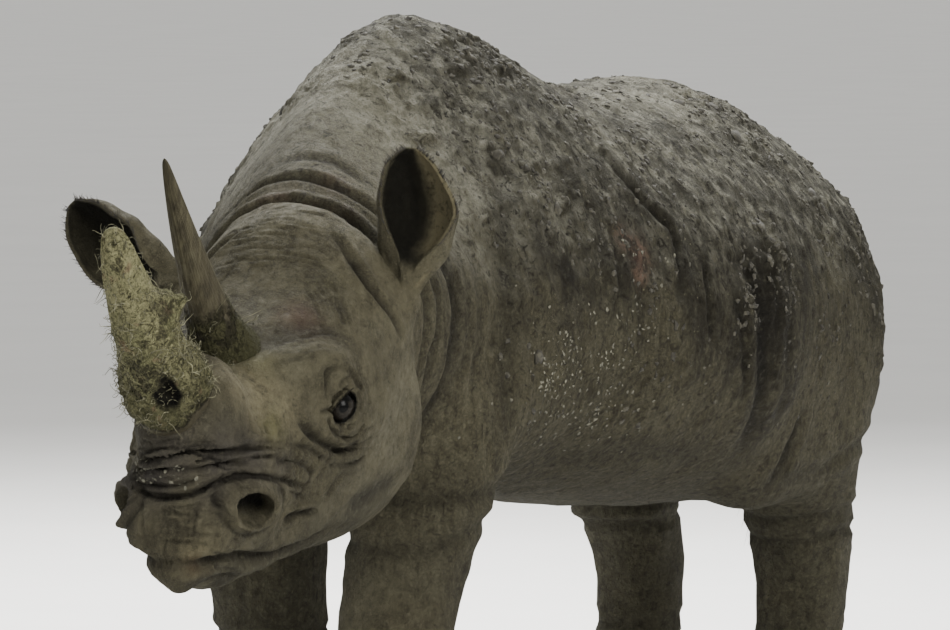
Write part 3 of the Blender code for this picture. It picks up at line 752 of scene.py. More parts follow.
# forms of the head: half width, depth (less than nothing stands out), swell on each side,
# whether the far side has it too, and the path in the head's frame (along, out, up)
faceForms = {
    "brow": (0.020, -0.009, (0, 0), "both", [
        (0.445, 0.062, 0.107), (0.388, 0.085, 0.100), (0.351, 0.117, 0.083), (0.316, 0.145, 0.066),
        (0.290, 0.170, 0.040), (0.270, 0.179, 0.000)]),
    "browHollow": (0.026, 0.005, (0.2, 0.2), "both", [
        (0.40, 0.035, 0.112), (0.335, 0.070, 0.105), (0.280, 0.115, 0.090), (0.240, 0.150, 0.055)]),
    "crest": (0.022, -0.007, (0, 0), "one", [
        (-0.045, -0.150, 0.085), (-0.040, -0.070, 0.132), (-0.035, 0.020, 0.142), (-0.030, 0.090, 0.120)]),
    "cheekBone": (0.040, -0.006, (0, 0), "both", [
        (0.230, 0.190, -0.060), (0.180, 0.195, -0.090), (0.120, 0.195, -0.110)]),
    "underEye": (0.022, -0.004, (0, 0), "both", [
        (0.430, 0.150, -0.050), (0.380, 0.155, -0.120), (0.300, 0.165, -0.165)]),
    "napeLow": (0.017, 0.020, (0.55, 0.25), "one", [
        (-0.02, -0.20, 0.0), (-0.055, -0.13, 0.10), (-0.075, -0.02, 0.135), (-0.08, 0.07, 0.115),
        (-0.07, 0.13, 0.06)]),
    "napeHigh": (0.013, 0.013, (0.3, 0.5), "one", [
        (-0.13, -0.20, 0.0), (-0.17, -0.13, 0.09), (-0.19, -0.02, 0.12), (-0.19, 0.07, 0.09), (-0.17, 0.15, 0.02)]),
    "napeThird": (0.014, 0.005, (0.3, 0.4), "one", [(-0.27, -0.16, 0.06), (-0.29, -0.05, 0.09), (-0.29, 0.06, 0.06)]),
    "beforeEar": (0.0080, 0.011, (0.25, 0.45), "both", [
        (0.050, 0.080, 0.142), (0.088, 0.122, 0.110), (0.111, 0.158, 0.068), (0.104, 0.183, 0.016),
        (0.092, 0.195, -0.035)]),
    "bridgeTop": (0.0050, 0.008, (0.6, 0.7), "one", [
        (0.600, -0.085, 0.070), (0.645, -0.050, 0.085), (0.651, -0.024, 0.089), (0.648, 0.011, 0.092),
        (0.639, 0.037, 0.097), (0.626, 0.061, 0.096), (0.603, 0.085, 0.090), (0.572, 0.097, 0.082)]),
    "bridgeHigh": (0.0048, 0.009, (0.6, 0.7), "one", [
        (0.615, -0.080, 0.050), (0.657, -0.032, 0.073), (0.655, 0.012, 0.082), (0.644, 0.046, 0.083),
        (0.627, 0.076, 0.069), (0.590, 0.098, 0.052), (0.560, 0.114, 0.036), (0.506, 0.131, 0.003)]),
    "bridgeBit": (0.0040, 0.005, (0.5, 0.6), "one", [
        (0.650, -0.055, 0.060), (0.660, -0.024, 0.070), (0.662, 0.001, 0.070)]),
    "bridgeMid": (0.0050, 0.009, (0.6, 0.7), "one", [
        (0.600, -0.095, 0.025), (0.650, -0.062, 0.042), (0.663, -0.020, 0.058), (0.663, 0.011, 0.061),
        (0.655, 0.041, 0.058), (0.639, 0.068, 0.053), (0.619, 0.088, 0.045), (0.595, 0.107, 0.032)]),
    "bridgeLow": (0.0045, 0.007, (0.6, 0.7), "one", [
        (0.641, -0.076, 0.011), (0.664, -0.037, 0.025), (0.667, -0.007, 0.027), (0.666, 0.017, 0.032),
        (0.660, 0.040, 0.038)]),
    "noseTop": (0.0058, 0.010, (0.5, 0.6), "one", [
        (0.655, -0.075, 0.010), (0.664, -0.056, 0.014), (0.677, -0.028, 0.010), (0.677, 0.008, 0.012),
        (0.671, 0.035, 0.017), (0.659, 0.056, 0.024), (0.645, 0.075, 0.027), (0.628, 0.093, 0.025),
        (0.610, 0.109, 0.015)]),
    "noseBack": (0.0052, 0.008, (0.6, 0.5), "both", [
        (0.628, 0.093, 0.025), (0.610, 0.109, 0.015), (0.587, 0.131, -0.003), (0.544, 0.131, -0.032),
        (0.495, 0.132, -0.070), (0.437, 0.130, -0.116)]),
    "noseHigh": (0.0040, 0.006, (0.6, 0.5), "both", [
        (0.597, 0.099, 0.043), (0.571, 0.117, 0.028), (0.533, 0.129, 0.007)]),
    "noseArc": (0.0050, 0.006, (0.6, 0.5), "both", [
        (0.554, 0.127, 0.010), (0.497, 0.135, -0.026), (0.450, 0.137, -0.068), (0.427, 0.134, -0.101)]),
    "cheekArc": (0.0055, 0.006, (0.6, 0.5), "both", [
        (0.496, 0.131, 0.007), (0.445, 0.141, -0.032), (0.414, 0.144, -0.066), (0.385, 0.146, -0.091)]),
    "noseSide": (0.0055, 0.009, (0.4, 0.6), "both", [
        (0.520, 0.113, -0.124), (0.496, 0.116, -0.131), (0.462, 0.124, -0.144), (0.427, 0.134, -0.162)]),
    "lidUpper": (0.0042, 0.0060, (0.35, 0.7), "both", [
        (0.366, 0.152, 0.012), (0.354, 0.153, 0.034), (0.341, 0.153, 0.049), (0.324, 0.163, 0.048),
        (0.303, 0.173, 0.030), (0.289, 0.178, -0.003), (0.281, 0.182, -0.030)]),
    "lidLower": (0.0042, 0.0060, (0.6, 0.5), "both", [
        (0.380, 0.157, -0.010), (0.376, 0.158, -0.036), (0.352, 0.161, -0.066), (0.318, 0.169, -0.086),
        (0.288, 0.182, -0.080)]),
    "tearLine": (0.0040, 0.0050, (0.4, 0.4), "both", [
        (0.392, 0.152, 0.004), (0.372, 0.157, -0.004), (0.355, 0.160, -0.012)]),
    "bagDeep": (0.0078, 0.0105, (0.55, 0.5), "both", [
        (0.444, 0.134, 0.018), (0.423, 0.144, -0.023), (0.388, 0.152, -0.064), (0.345, 0.155, -0.098),
        (0.305, 0.168, -0.114)]),
    "bagOuter": (0.0065, 0.006, (0.45, 0.5), "both", [
        (0.393, 0.146, -0.088), (0.347, 0.150, -0.122), (0.306, 0.163, -0.143), (0.278, 0.169, -0.148)]),
    "cheekLow": (0.0060, 0.005, (0.5, 0.5), "both", [
        (0.538, 0.134, -0.047), (0.490, 0.128, -0.090), (0.441, 0.128, -0.134)]),
    "mouth": (0.011, 0.015, (0.45, 0.35), "both", [
        (0.745, -0.010, -0.070), (0.738, 0.045, -0.078), (0.712, 0.082, -0.095), (0.650, 0.098, -0.135),
        (0.580, 0.098, -0.165), (0.500, 0.098, -0.195), (0.430, 0.108, -0.215), (0.370, 0.125, -0.225)]),
    "jowl": (0.018, 0.006, (0.3, 0.4), "both", [(0.34, 0.145, -0.21), (0.26, 0.165, -0.23), (0.18, 0.175, -0.25)]),
}
for k in range(6):  # fine ridges between the nostrils
    low, fore, sway = -0.0090 * k, 0.0060 * k, 0.004 * sin(2.3 * k)
    path = [(0.688 + fore, -0.020 - sway, low), (0.691 + fore, 0.005, low + 0.003 + sway / 2),
            (0.688 + fore, 0.030, low - 0.001), (0.680 + fore, 0.055 + sway, low + 0.001 - sway / 2)]
    faceForms["noseLine" + str(k)] = (0.0040 + sway / 8, 0.0009, (0.9, 0.9), "one", path)
# patches of short wrinkles: middle, reach, way they run, how many, half width, depth
wrinklePatches = {
    "forehead": ((0.105, 0.000, 0.140), (0.060, 0.100), (0.05, 1.0, 0.0), 40, 0.0030, 0.0014),
    "crown": ((0.020, 0.000, 0.150), (0.050, 0.090), (0.0, 1.0, 0.0), 24, 0.0032, 0.0015),
    "temple": ((0.170, 0.130, 0.105), (0.060, 0.050), (0.8, 0.5, -0.5), 34, 0.0030, 0.0013),
    "bridge": ((0.655, 0.010, 0.065), (0.050, 0.085), (0.05, 1.0, 0.0), 84, 0.0024, 0.0030),
    "noseFront": ((0.700, 0.020, -0.020), (0.045, 0.060), (0.05, 1.0, 0.0), 50, 0.0024, 0.0010),
    "noseSides": ((0.655, 0.085, 0.010), (0.035, 0.050), (0.5, 0.8, -0.3), 24, 0.0024, 0.0016),
    "noseSkin": ((0.540, 0.125, 0.010), (0.055, 0.060), (0.75, 0.1, -0.60), 34, 0.0030, 0.0022),
    "cheek": ((0.470, 0.135, -0.070), (0.080, 0.060), (0.70, 0.0, -0.70), 34, 0.0034, 0.0024),
    "upperLip": ((0.705, 0.010, -0.030), (0.065, 0.045), (0.35, 0.05, 1.0), 44, 0.0030, 0.0010),
    "lipSide": ((0.640, 0.100, -0.100), (0.060, 0.050), (0.60, 0.1, 0.70), 22, 0.0036, 0.0020),
    "underEye": ((0.330, 0.165, -0.100), (0.060, 0.050), (0.85, 0.1, -0.45), 24, 0.0030, 0.0018),
    "besideEye": ((0.270, 0.180, -0.030), (0.050, 0.045), (0.20, 0.1, -1.0), 20, 0.0030, 0.0014),
    "overEye": ((0.340, 0.120, 0.085), (0.035, 0.050), (0.8, -0.5, 0.2), 20, 0.0030, 0.0014),
    "jaw": ((0.330, 0.160, -0.200), (0.120, 0.070), (1.0, 0.0, -0.25), 22, 0.0045, 0.0018),
    "chin": ((0.620, 0.040, -0.170), (0.080, 0.070), (1.0, 0.2, 0.0), 14, 0.0045, 0.0022),
}


def shortWrinkles(mesh):
    made = {}
    dice = np.random.default_rng(11)
    tree = treeOf(mesh)
    for name, (middle, reach, way, count, width, depth) in wrinklePatches.items():
        normal = headBasis @ np.array(tree.find_nearest(headPoint(*middle))[1])
        way = np.array(way) - normal * (normal @ np.array(way))
        way = way / np.linalg.norm(way)
        cross = np.cross(way, normal)
        for k in range(count):
            spot = np.array(middle) + way * dice.uniform(-1, 1) * reach[1] + cross * dice.uniform(-1, 1) * reach[0]
            length = dice.uniform(0.018, 0.050)
            bend = cross * dice.normal(0, 0.004)
            path = [spot + way * length * t + bend * (1 - t * t) * 2 for t in (-1, -0.5, 0, 0.5, 1)]
            sizes = width * dice.uniform(0.8, 1.3), depth * dice.uniform(0.5, 1.2)
            made[name + str(k)] = (*sizes, (0.4, 0.4), "one" if abs(middle[1]) < 0.05 else "both", path)
    return made


def treeOf(mesh):
    form = formOf(mesh)
    tree = BVHTree.FromBMesh(form)
    form.free()
    return tree


def snapped(tree, path, count):
    samples, normals = [], []
    for p in smoothRows(path, count):
        place, normal, _, _ = tree.find_nearest(Vector(p))
        samples.append(place)
        normals.append(normal)
    return np.array(samples), np.array(normals)


def press(points, normals, creaseShade, tree, path, width, depth, lips, count=48):
    samples, faceNormals = snapped(tree, path, count)
    if (np.linalg.norm(np.diff(samples, axis=0), axis=1) > 0.03).any():
        return
    low, high = samples.min(0) - 5 * width, samples.max(0) + 5 * width
    near = np.where(((points > low) & (points < high)).all(1))[0]
    if not len(near):
        return
    gaps = points[near][:, None] - samples[None]
    far = (gaps ** 2).sum(2)
    best = far.argmin(1)
    away = np.sqrt(far.min(1))
    side = np.cross(np.gradient(samples, axis=0), faceNormals)
    side /= np.maximum(np.linalg.norm(side, axis=1), 1e-9)[:, None]
    signed = (gaps[np.arange(len(near)), best] * side[best]).sum(1)
    t = best / (count - 1)
    fade = np.clip(4 * t, 0, 1) * np.clip(4 * (1 - t), 0, 1)
    fade = np.sqrt(fade) * ((normals[near] * faceNormals[best]).sum(1) > 0.1)
    dip = bell(away, width)
    lip = bell(away - 2.1 * width, 1.1 * width) * np.where(signed > 0, lips[0], lips[1])
    points[near] += normals[near] * (depth * fade * (lip - dip))[:, None]
    # the crease's dip is also painted as shade on the hide
    creaseShade[near] += dip * fade * max(0.0, min(1.0, depth / 0.008))


def pressAll(mesh, creases, creaseShade, toPoint):
    tree = treeOf(mesh)
    points, normals = pointsOf(mesh), normalsOf(mesh)
    for width, depth, lips, where, path in creases.values():
        for sign in ((1, -1) if where == "both" else (1,)):
            placed = [tuple(toPoint(p[0], sign * p[1], p[2])) for p in path]
            turned = lips if sign > 0 else lips[::-1]
            press(points, normals, creaseShade, tree, placed, width, depth, turned)
    setPoints(mesh, points)


eyeShape = {
    "radius": 0.0290, "sink": 0.0040, "deeper": 0.0024,
    "facing": (0.66, 0.65, 0.36),  # way the eye looks: along, out, up
    "half": 0.0315, "rise": 0.0125, "drop": 0.0215, "ring": 0.0172,  # opening, and the creases round it
    "tilt": 10,  # degrees that the front corner drops
    "lid": 0.0036, "lidReach": 0.0312, "slope": 0.034, "bed": 0.005, "around": 0.09,
    "rim": 0.80, "floor": 0.55,  # shares of the opening: the lid's edge turns in, the bed is flat
}


def turnedAxes(facing, sign, tilt):
    # fore, rise and out of something that looks outwards, its front dropped by some degrees
    facing, tilt = Vector(facing), radians(tilt)
    out = (along * facing.x + left * sign * facing.y + up * facing.z).normalized()
    fore = (along - out * along.dot(out)).normalized()
    rise = fore.cross(out)
    rise = rise if rise.dot(up) > 0 else -rise
    return fore * cos(tilt) - rise * sin(tilt), rise * cos(tilt) + fore * sin(tilt), out


def eyeAxes(side):
    return turnedAxes(eyeShape["facing"], signs[side], eyeShape["tilt"])


def carveEye(points, side, inside):
    s = eyeShape
    fore, rise, out = (np.array(a) for a in eyeAxes(side))
    centre = np.array(middleOf("eye_" + side)) - out * s["sink"]
    near = np.where(np.linalg.norm(points - centre, axis=1) < s["around"])[0]
    near = near[(points[near] - centre) @ out > -0.02]
    local = points[near] - centre
    x, y, z = local @ fore, local @ rise, local @ out
    radius, reach, rim, floor = s["radius"], s["lidReach"], s["rim"], s["floor"]
    rho = np.hypot(x, y)
    q = np.hypot(x / s["half"], y / np.where(y > 0, s["rise"], s["drop"]))
    lidRadius = radius + s["lid"]
    onBall = np.sqrt(np.maximum(lidRadius ** 2 - np.minimum(rho, reach) ** 2, 0))
    beyond = sqrt(lidRadius ** 2 - reach ** 2) * (1 - ease(rho, reach, reach + s["slope"]))
    blendIn = ease(rho, reach + s["slope"], reach * 0.9)
    skinZ = np.where(rho < reach, onBall, np.maximum(z, z * (1 - blendIn) + beyond * blendIn))
    bedZ = np.sqrt(np.maximum((radius - s["bed"]) ** 2 - rho ** 2, 0.0)) - 0.001 - s["deeper"]
    wall = np.clip((q - rim) / 0.20, 0, 1)
    newZ = np.where(q < 1, bedZ * (1 - wall) + skinZ * wall, skinZ)
    squeeze = np.where((q > rim) & (q < 1.0), (0.96 + 0.04 * wall) / np.maximum(q, 1e-6), 1.0)
    squeeze = np.where((q > floor) & (q <= rim), (floor + (q - floor) * 0.41 / 0.25) / np.maximum(q, 1e-6), squeeze)
    points[near] = centre + np.outer(x * squeeze, fore) + np.outer(y * squeeze, rise) + np.outer(newZ, out)
    # painted shade round the eye's opening
    inside[near] = np.maximum(inside[near], 1 - ease(q, 1.0, 1.12))


def lidCreases(side):
    # rings round the lids, as paths of points in space
    centre = middleOf("eye_" + side)
    fore, rise, out = eyeAxes(side)
    made = {}
    for name, size, start, end, width, depth in (
            ("lidFold", 1.40, 20, 165, 0.0032, 0.0036), ("browFold", 2.10, 30, 160, 0.0045, 0.0040),
            ("bagNear", 1.42, 200, 345, 0.0032, 0.0034), ("bagMid", 1.90, 195, 335, 0.0042, 0.0042),
            ("bagFar", 2.5, 205, 320, 0.0050, 0.0040)):
        path = []
        for k in range(7):
            a = radians(start + (end - start) * k / 6)
            path.append(centre + fore * cos(a) * eyeShape["half"] * (0.35 + 0.65 * size)
                        + rise * sin(a) * eyeShape["ring"] * size + out * 0.02)
        made[name] = (width, depth, (0.5, 0.5), "one", path)
    return made


nostrilShape = {
    "left": (0.628, 0.116, -0.032), "right": (0.646, -0.110, -0.026), "facing": (0.70, 0.68, 0.10), "tilt": -20,
    "half": 0.043, "rise": 0.0290, "depth": 0.042, "rim": 0.008, "groove": 0.006, "lobe": 0.010,
    "reach": 0.115, "comma": 0.22,  # how far its shape bends like a comma
}
muzzleShape = {"middle": 0.014, "lipPinch": 0.36, "farPinch": 0.16, "dip": 0.006}


def shapeMuzzle(points):
    # narrows the pointed upper lip, and sinks the skin between the nostrils
    q = headCoords(points)
    lip = ease(q[:, 0], 0.55, 0.70) * ease(-q[:, 2], 0.015, 0.10)
    far = ease(q[:, 0], 0.50, 0.60) * ease(q[:, 2], -0.05, 0.01) * ease(-q[:, 1], 0.02, 0.08)
    slim = muzzleShape["lipPinch"] * lip + muzzleShape["farPinch"] * far
    move = -(q[:, 1] - muzzleShape["middle"]) * slim * headPose["scale"]
    dip = muzzleShape["dip"] * spotSum(q, [((0.70, 0.010, -0.030), (0.05, 0.045, 0.05), 1.0)])
    return points + np.outer(move, np.array(left)) - np.outer(dip, np.array(along))


def carveNostril(points, side, creaseShade, inside):
    s = nostrilShape
    centre = np.array(headPoint(*s[side]))
    fore, rise, out = (np.array(a) for a in turnedAxes(s["facing"], signs[side], s["tilt"]))
    near = np.where(np.linalg.norm(points - centre, axis=1) < s["reach"])[0]
    local = points[near] - centre
    x, y, z = local @ fore, local @ rise, local @ out
    y = y - s["comma"] * (x - 0.01)
    q = np.hypot(x / s["half"], y / s["rise"])
    hollow = np.clip(1 - q ** 2, 0, 1) ** 0.42
    ring, groove = bell(q - 1.28, 0.22), bell(q - 1.72, 0.17) * ease(q, 1.0, 1.4)
    lobe = bell(q, 1.5) * ease(q, 0.7, 1.1)
    points[near] += np.outer(s["lobe"] * lobe + s["rim"] * ring - s["groove"] * groove - s["depth"] * hollow, out)
    # painted shade in the groove round the nostril
    creaseShade[near] += groove * 0.6
    # painted shade inside the nostril, lighter low down where light falls in
    dark = (1 - ease(q, 0.70, 1.02)) * (z < 0.03) * (1 - 0.7 * ease(-y, 0.0, s["rise"]))
    inside[near] = np.maximum(inside[near], dark)


underHorn = {"slices": 41, "upTo": 0.5, "halfSlice": 0.0126, "above": 0.12, "narrower": 0.90}  # shares of the horn


def underHorns(points):
    # lowers the skin that would show through the front horn
    spec, s = hornShape["front"], underHorn
    taper = smoothRows(spec["taper"], 60)
    foot = np.array(hornAxes(spec, 0)[0])
    for share, place, way, fore in alongHorn(spec, np.linspace(0, s["upTo"], s["slices"])):
        size = s["narrower"] * np.interp(share, taper[:, 0], taper[:, 1])
        local = points - np.array(place)
        ahead, aside = local @ np.array(fore) / spec["radii"][0], local @ np.array(left) / spec["radii"][1]
        level = np.abs(local @ np.array(way)) < spec["length"] * s["halfSlice"]
        drop = spec["length"] * (share - s["above"])
        covered = (np.hypot(ahead, aside) / size < 1) & level & (drop > 0)
        points = points - np.outer(np.where(covered, drop, 0), foot)
    return points


points = underHorns(shapeMuzzle(pointsOf(skinMesh)))
collar = spotSum(headCoords(points), [((0.63, 0.0, 0.075), (0.07, 0.12, 0.06), 1.5)])
points = spread(points, edgesOf(skinMesh), 24, np.minimum(collar, 1))
# painted shade for the creases, and for the ear, eye and nostril hollows
creaseShade, inside = np.zeros(len(points)), np.zeros(len(points))
for side in sides:
    carveEye(points, side, inside)
for side in sides:
    carveNostril(points, side, creaseShade, inside)
setPoints(skinMesh, points)
pressAll(skinMesh, faceForms, creaseShade, headPoint)
pressAll(skinMesh, shortWrinkles(skinMesh), creaseShade, headPoint)
for side in sides:
    pressAll(skinMesh, lidCreases(side), creaseShade, lambda x, y, z: (x, y, z))
print("head shaped")


def carried(source, values, target):
    # the values of the nearest old point for each new one
    tree = KDTree(len(source))
    for k, p in enumerate(source):
        tree.insert(p, k)
    tree.balance()
    nearest = [tree.find(p)[1] for p in target]
    return [v[nearest] for v in values]


# folds of the body in the same order, their paths in metres from the fore feet's middle, as bodyPoint takes them
bodyFolds = {
    "shoulderBack": (0.036, 0.005, (0.5, 0.3), "both", [
        (-0.09, -0.25, 1.25), (-0.155, -0.29, 1.16), (-0.21, -0.32, 1.07), (-0.245, -0.345, 0.93),
        (-0.265, -0.35, 0.81), (-0.285, -0.345, 0.72)]),
    "neckSide": (0.024, 0.009, (0.5, 0.5), "both", [
        (-0.48, -0.24, 1.20), (-0.45, -0.30, 1.02), (-0.45, -0.29, 0.84), (-0.49, -0.22, 0.72)]),
    "neckMid": (0.018, 0.007, (0.5, 0.5), "both", [(-0.57, -0.26, 1.18), (-0.545, -0.33, 1.00), (-0.55, -0.28, 0.80)]),
    "neckNear": (0.014, 0.006, (0.5, 0.5), "both", [(-0.62, -0.30, 1.14), (-0.61, -0.34, 0.98), (-0.62, -0.30, 0.80)]),
    "neckFine": (0.011, 0.0035, (0.5, 0.5), "both", [
        (-0.53, -0.28, 1.10), (-0.50, -0.32, 0.95), (-0.51, -0.30, 0.85)]),
    "neckFar": (0.014, 0.004, (0.5, 0.5), "both", [(-0.40, -0.24, 1.12), (-0.385, -0.30, 0.95), (-0.41, -0.28, 0.80)]),
    "neckBack": (0.014, 0.004, (0.5, 0.5), "both", [
        (-0.33, -0.27, 1.14), (-0.345, -0.32, 0.98), (-0.345, -0.32, 0.81)]),
    "flank": (0.028, 0.013, (0.4, 0.3), "both", [
        (0.60, -0.44, 1.03), (0.635, -0.45, 0.96), (0.655, -0.46, 0.88), (0.685, -0.445, 0.79), (0.73, -0.405, 0.70),
        (0.80, -0.36, 0.62)]),
    "flankBehind": (0.024, 0.006, (0.4, 0.4), "both", [(0.78, -0.44, 0.92), (0.80, -0.44, 0.80), (0.86, -0.40, 0.68)]),
    "flankLow": (0.022, 0.010, (0.5, 0.5), "both", [(1.02, -0.38, 0.72), (1.00, -0.36, 0.64), (0.97, -0.30, 0.56)]),
    "sideFirst": (0.011, 0.009, (0.4, 0.5), "both", [
        (0.27, -0.29, 1.235), (0.31, -0.355, 1.14), (0.355, -0.39, 1.09), (0.355, -0.41, 1.03), (0.32, -0.43, 0.94)]),
    "sideSecond": (0.011, 0.008, (0.4, 0.5), "both", [
        (0.455, -0.42, 1.035), (0.43, -0.44, 0.95), (0.445, -0.44, 0.875)]),
    "sideThird": (0.011, 0.008, (0.4, 0.5), "both", [(0.53, -0.45, 0.95), (0.575, -0.45, 0.85), (0.62, -0.43, 0.75)]),
    "sideFourth": (0.012, 0.010, (0.4, 0.5), "both", [(0.73, -0.43, 1.03), (0.72, -0.45, 0.955), (0.70, -0.46, 0.88)]),
    "sideFifth": (0.011, 0.006, (0.4, 0.5), "both", [(0.16, -0.36, 1.10), (0.14, -0.39, 1.00), (0.10, -0.39, 0.92)]),
    "thigh": (0.030, 0.010, (0.5, 0.5), "both", [(1.56, -0.22, 1.02), (1.60, -0.28, 0.85), (1.57, -0.28, 0.68)]),
    "belly": (0.035, 0.003, (0.5, 0.4), "both", [(0.10, -0.28, 0.62), (0.40, -0.34, 0.64), (0.70, -0.34, 0.62)]),
}
legFolds = {  # height, half width, depth of the creases that ring a leg in front of its joints
    "fore": [(0.64, 0.014, 0.006), (0.57, 0.012, 0.005), (0.36, 0.010, 0.005), (0.31, 0.010, 0.005),
             (0.17, 0.009, 0.006), (0.13, 0.009, 0.004)],
    "hind": [(0.60, 0.014, 0.006), (0.47, 0.010, 0.006), (0.42, 0.010, 0.005), (0.20, 0.009, 0.006),
             (0.15, 0.009, 0.005)],
}


def ringLegs(points, normals, creaseShade):
    for name in skinShape["flesh"][3:]:
        low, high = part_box(name)
        kind = "fore" if "fore" in name else "hind"
        mine = ((points > np.array(low) - 0.03) & (points < np.array(high) + 0.03)).all(1) & (points[:, 2] < 0.70)
        for height, width, depth in legFolds[kind]:
            p = points[mine]
            wave = 0.012 * np.sin(p[:, 0] * 22 + height * 40) + 0.25 * (p[:, 0] - middleOf(name).x)
            away = p[:, 2] - height - wave * 0.6
            dip = bell(away, width)
            lip = bell(np.abs(away) - 2 * width, width) * 0.5
            points[mine] += normals[mine] * (depth * (lip - dip))[:, None]
            # painted shade in the leg's crease
            creaseShade[mine] += dip * 0.35


def muddyBack(points):
    body = points - np.array(centring)
    return (body[:, 0] > -0.30) & (body[:, 2] > 0.58) & (headCoords(points)[:, 0] < -0.25)


def faceShare(q):
    return ease(q[:, 0], -0.12, 0.06) * ease(1.0 - np.abs(q[:, 1]), 0.2, 0.5)


def earZones(points):
    # near the upper part of an ear's edge
    spots = [np.array(rims[side][26][1]) for side in sides]
    return np.max([1 - ease(np.linalg.norm(points - spot, axis=1), 0.12, 0.20) for spot in spots], axis=0)


before = pointsOf(skinMesh)
skinMesh = finer(skinMesh, muddyBack)
creaseShade, inside = carried(before, [creaseShade, inside], pointsOf(skinMesh))
evened(skinMesh, 3, muddyBack)
pressAll(skinMesh, bodyFolds, creaseShade, bodyPoint)
points, normals = pointsOf(skinMesh), normalsOf(skinMesh)
ringLegs(points, normals, creaseShade)
face = faceShare(headCoords(points))
caked = muddyBack(points) * ease(points[:, 2], 0.6, 0.9)
rough = noiseAt(points, 9.0, 1, 3) * 0.005 * (1 - 0.85 * face) + noiseAt(points, 26.0, 2, 3) * 0.0020
heaps = 0.6 + np.maximum(noiseAt(points, 5.0, 7, 3), 0) * 2
rough += caked * np.maximum(noiseAt(points, 34.0, 12, 4), -0.15) * 0.0080 * heaps
points += normals * (rough * (1 - earZones(points)) * ease(points[:, 2], 0.01, 0.08))[:, None]
points[points[:, 2] < 0.004, 2] = 0
points[:, 2] = np.maximum(points[:, 2], 0)
setPoints(skinMesh, points)
print("body shaped:", len(points), "points")

# markings: places in the head's frame with their spread
tints = {
    "rose": [((0.26, 0.09, 0.10), 0.040, 0.5), ((-0.082, -0.05, 0.12), 0.045, 0.9), ((-0.085, 0.03, 0.12), 0.045, 0.9),
             ((-0.20, 0.0, 0.10), 0.035, 0.6)],
    "ochreAndEarLight": [((0.467, 0.087, 0.088), 0.045, 0.8), ((0.523, 0.070, 0.130), 0.040, 0.7),
              ((0.50, 0.085, 0.075), 0.055, 0.6), ((0.46, 0.06, 0.10), 0.050, 0.7),
              ((0.742, 0.045, -0.058), 0.024, 0.8), ((0.46, 0.115, 0.05), 0.040, 0.6),
              ((0.50, -0.085, 0.075), 0.05, 0.5)],
    "stain": [((0.515, 0.112, 0.048), 0.030, 0.8), ((0.41, 0.06, 0.10), 0.035, 0.4), ((0.16, 0.12, 0.10), 0.035, 0.3)],
    "muzzle": [((0.650, 0.0, 0.075), 0.060, 0.9), ((0.630, 0.070, 0.060), 0.050, 0.9),
               ((0.590, 0.105, 0.040), 0.045, 0.8), ((0.660, -0.03, 0.04), 0.050, 0.9),
               ((0.640, -0.09, 0.00), 0.050, 0.9), ((0.54, 0.13, -0.01), 0.035, 0.5),
               ((0.66, 0.06, 0.02), 0.040, 0.6)],
    "pale": [((0.202, 0.184, -0.149), 0.080, 0.6), ((0.140, 0.190, -0.110), 0.060, 0.4),
             ((0.306, 0.164, -0.165), 0.040, 0.4), ((-0.025, 0.0, 0.140), 0.050, 0.5),
             ((-0.030, -0.07, 0.130), 0.040, 0.4), ((0.385, 0.099, 0.089), 0.030, 0.4)],
    "grain": [((0.14, 0.0, 0.15), 0.12, 0.8), ((0.20, 0.09, 0.11), 0.08, 0.7), ((0.02, 0.05, 0.15), 0.07, 0.6),
              ((0.30, 0.06, 0.11), 0.06, 0.6)],
    "straw": [((0.381, -0.015, 0.107), 0.016, 1.0), ((0.409, 0.024, 0.100), 0.018, 1.0),
              ((0.446, 0.062, 0.107), 0.020, 0.9), ((0.364, -0.051, 0.108), 0.016, 0.8),
              ((0.470, 0.030, 0.115), 0.022, 0.8)],
    "lip": [((0.738, 0.045, -0.078), 0.014, 0.9), ((0.722, 0.075, -0.09), 0.014, 0.8)],
    "shade": [((0.625, -0.03, 0.120), 0.045, 1.0), ((0.605, 0.050, 0.115), 0.040, 0.9),
              ((0.585, 0.10, 0.075), 0.030, 0.6), ((0.44, 0.12, -0.21), 0.08, 0.5), ((0.30, 0.16, -0.26), 0.10, 0.6),
              ((0.58, 0.10, -0.16), 0.07, 0.6), ((0.70, 0.03, -0.130), 0.045, 0.9), ((0.64, 0.06, -0.165), 0.050, 0.8),
              ((0.55, 0.05, -0.24), 0.13, 0.8), ((0.40, 0.05, -0.27), 0.12, 0.7), ((0.70, 0.0, -0.14), 0.05, 0.7)],
}
noseFlakes = [((0.650, -0.060, 0.045), (0.018, 0.030, 0.020), 3.6), ((0.665, -0.005, 0.045), (0.02, 0.050, 0.014), 2.6)]
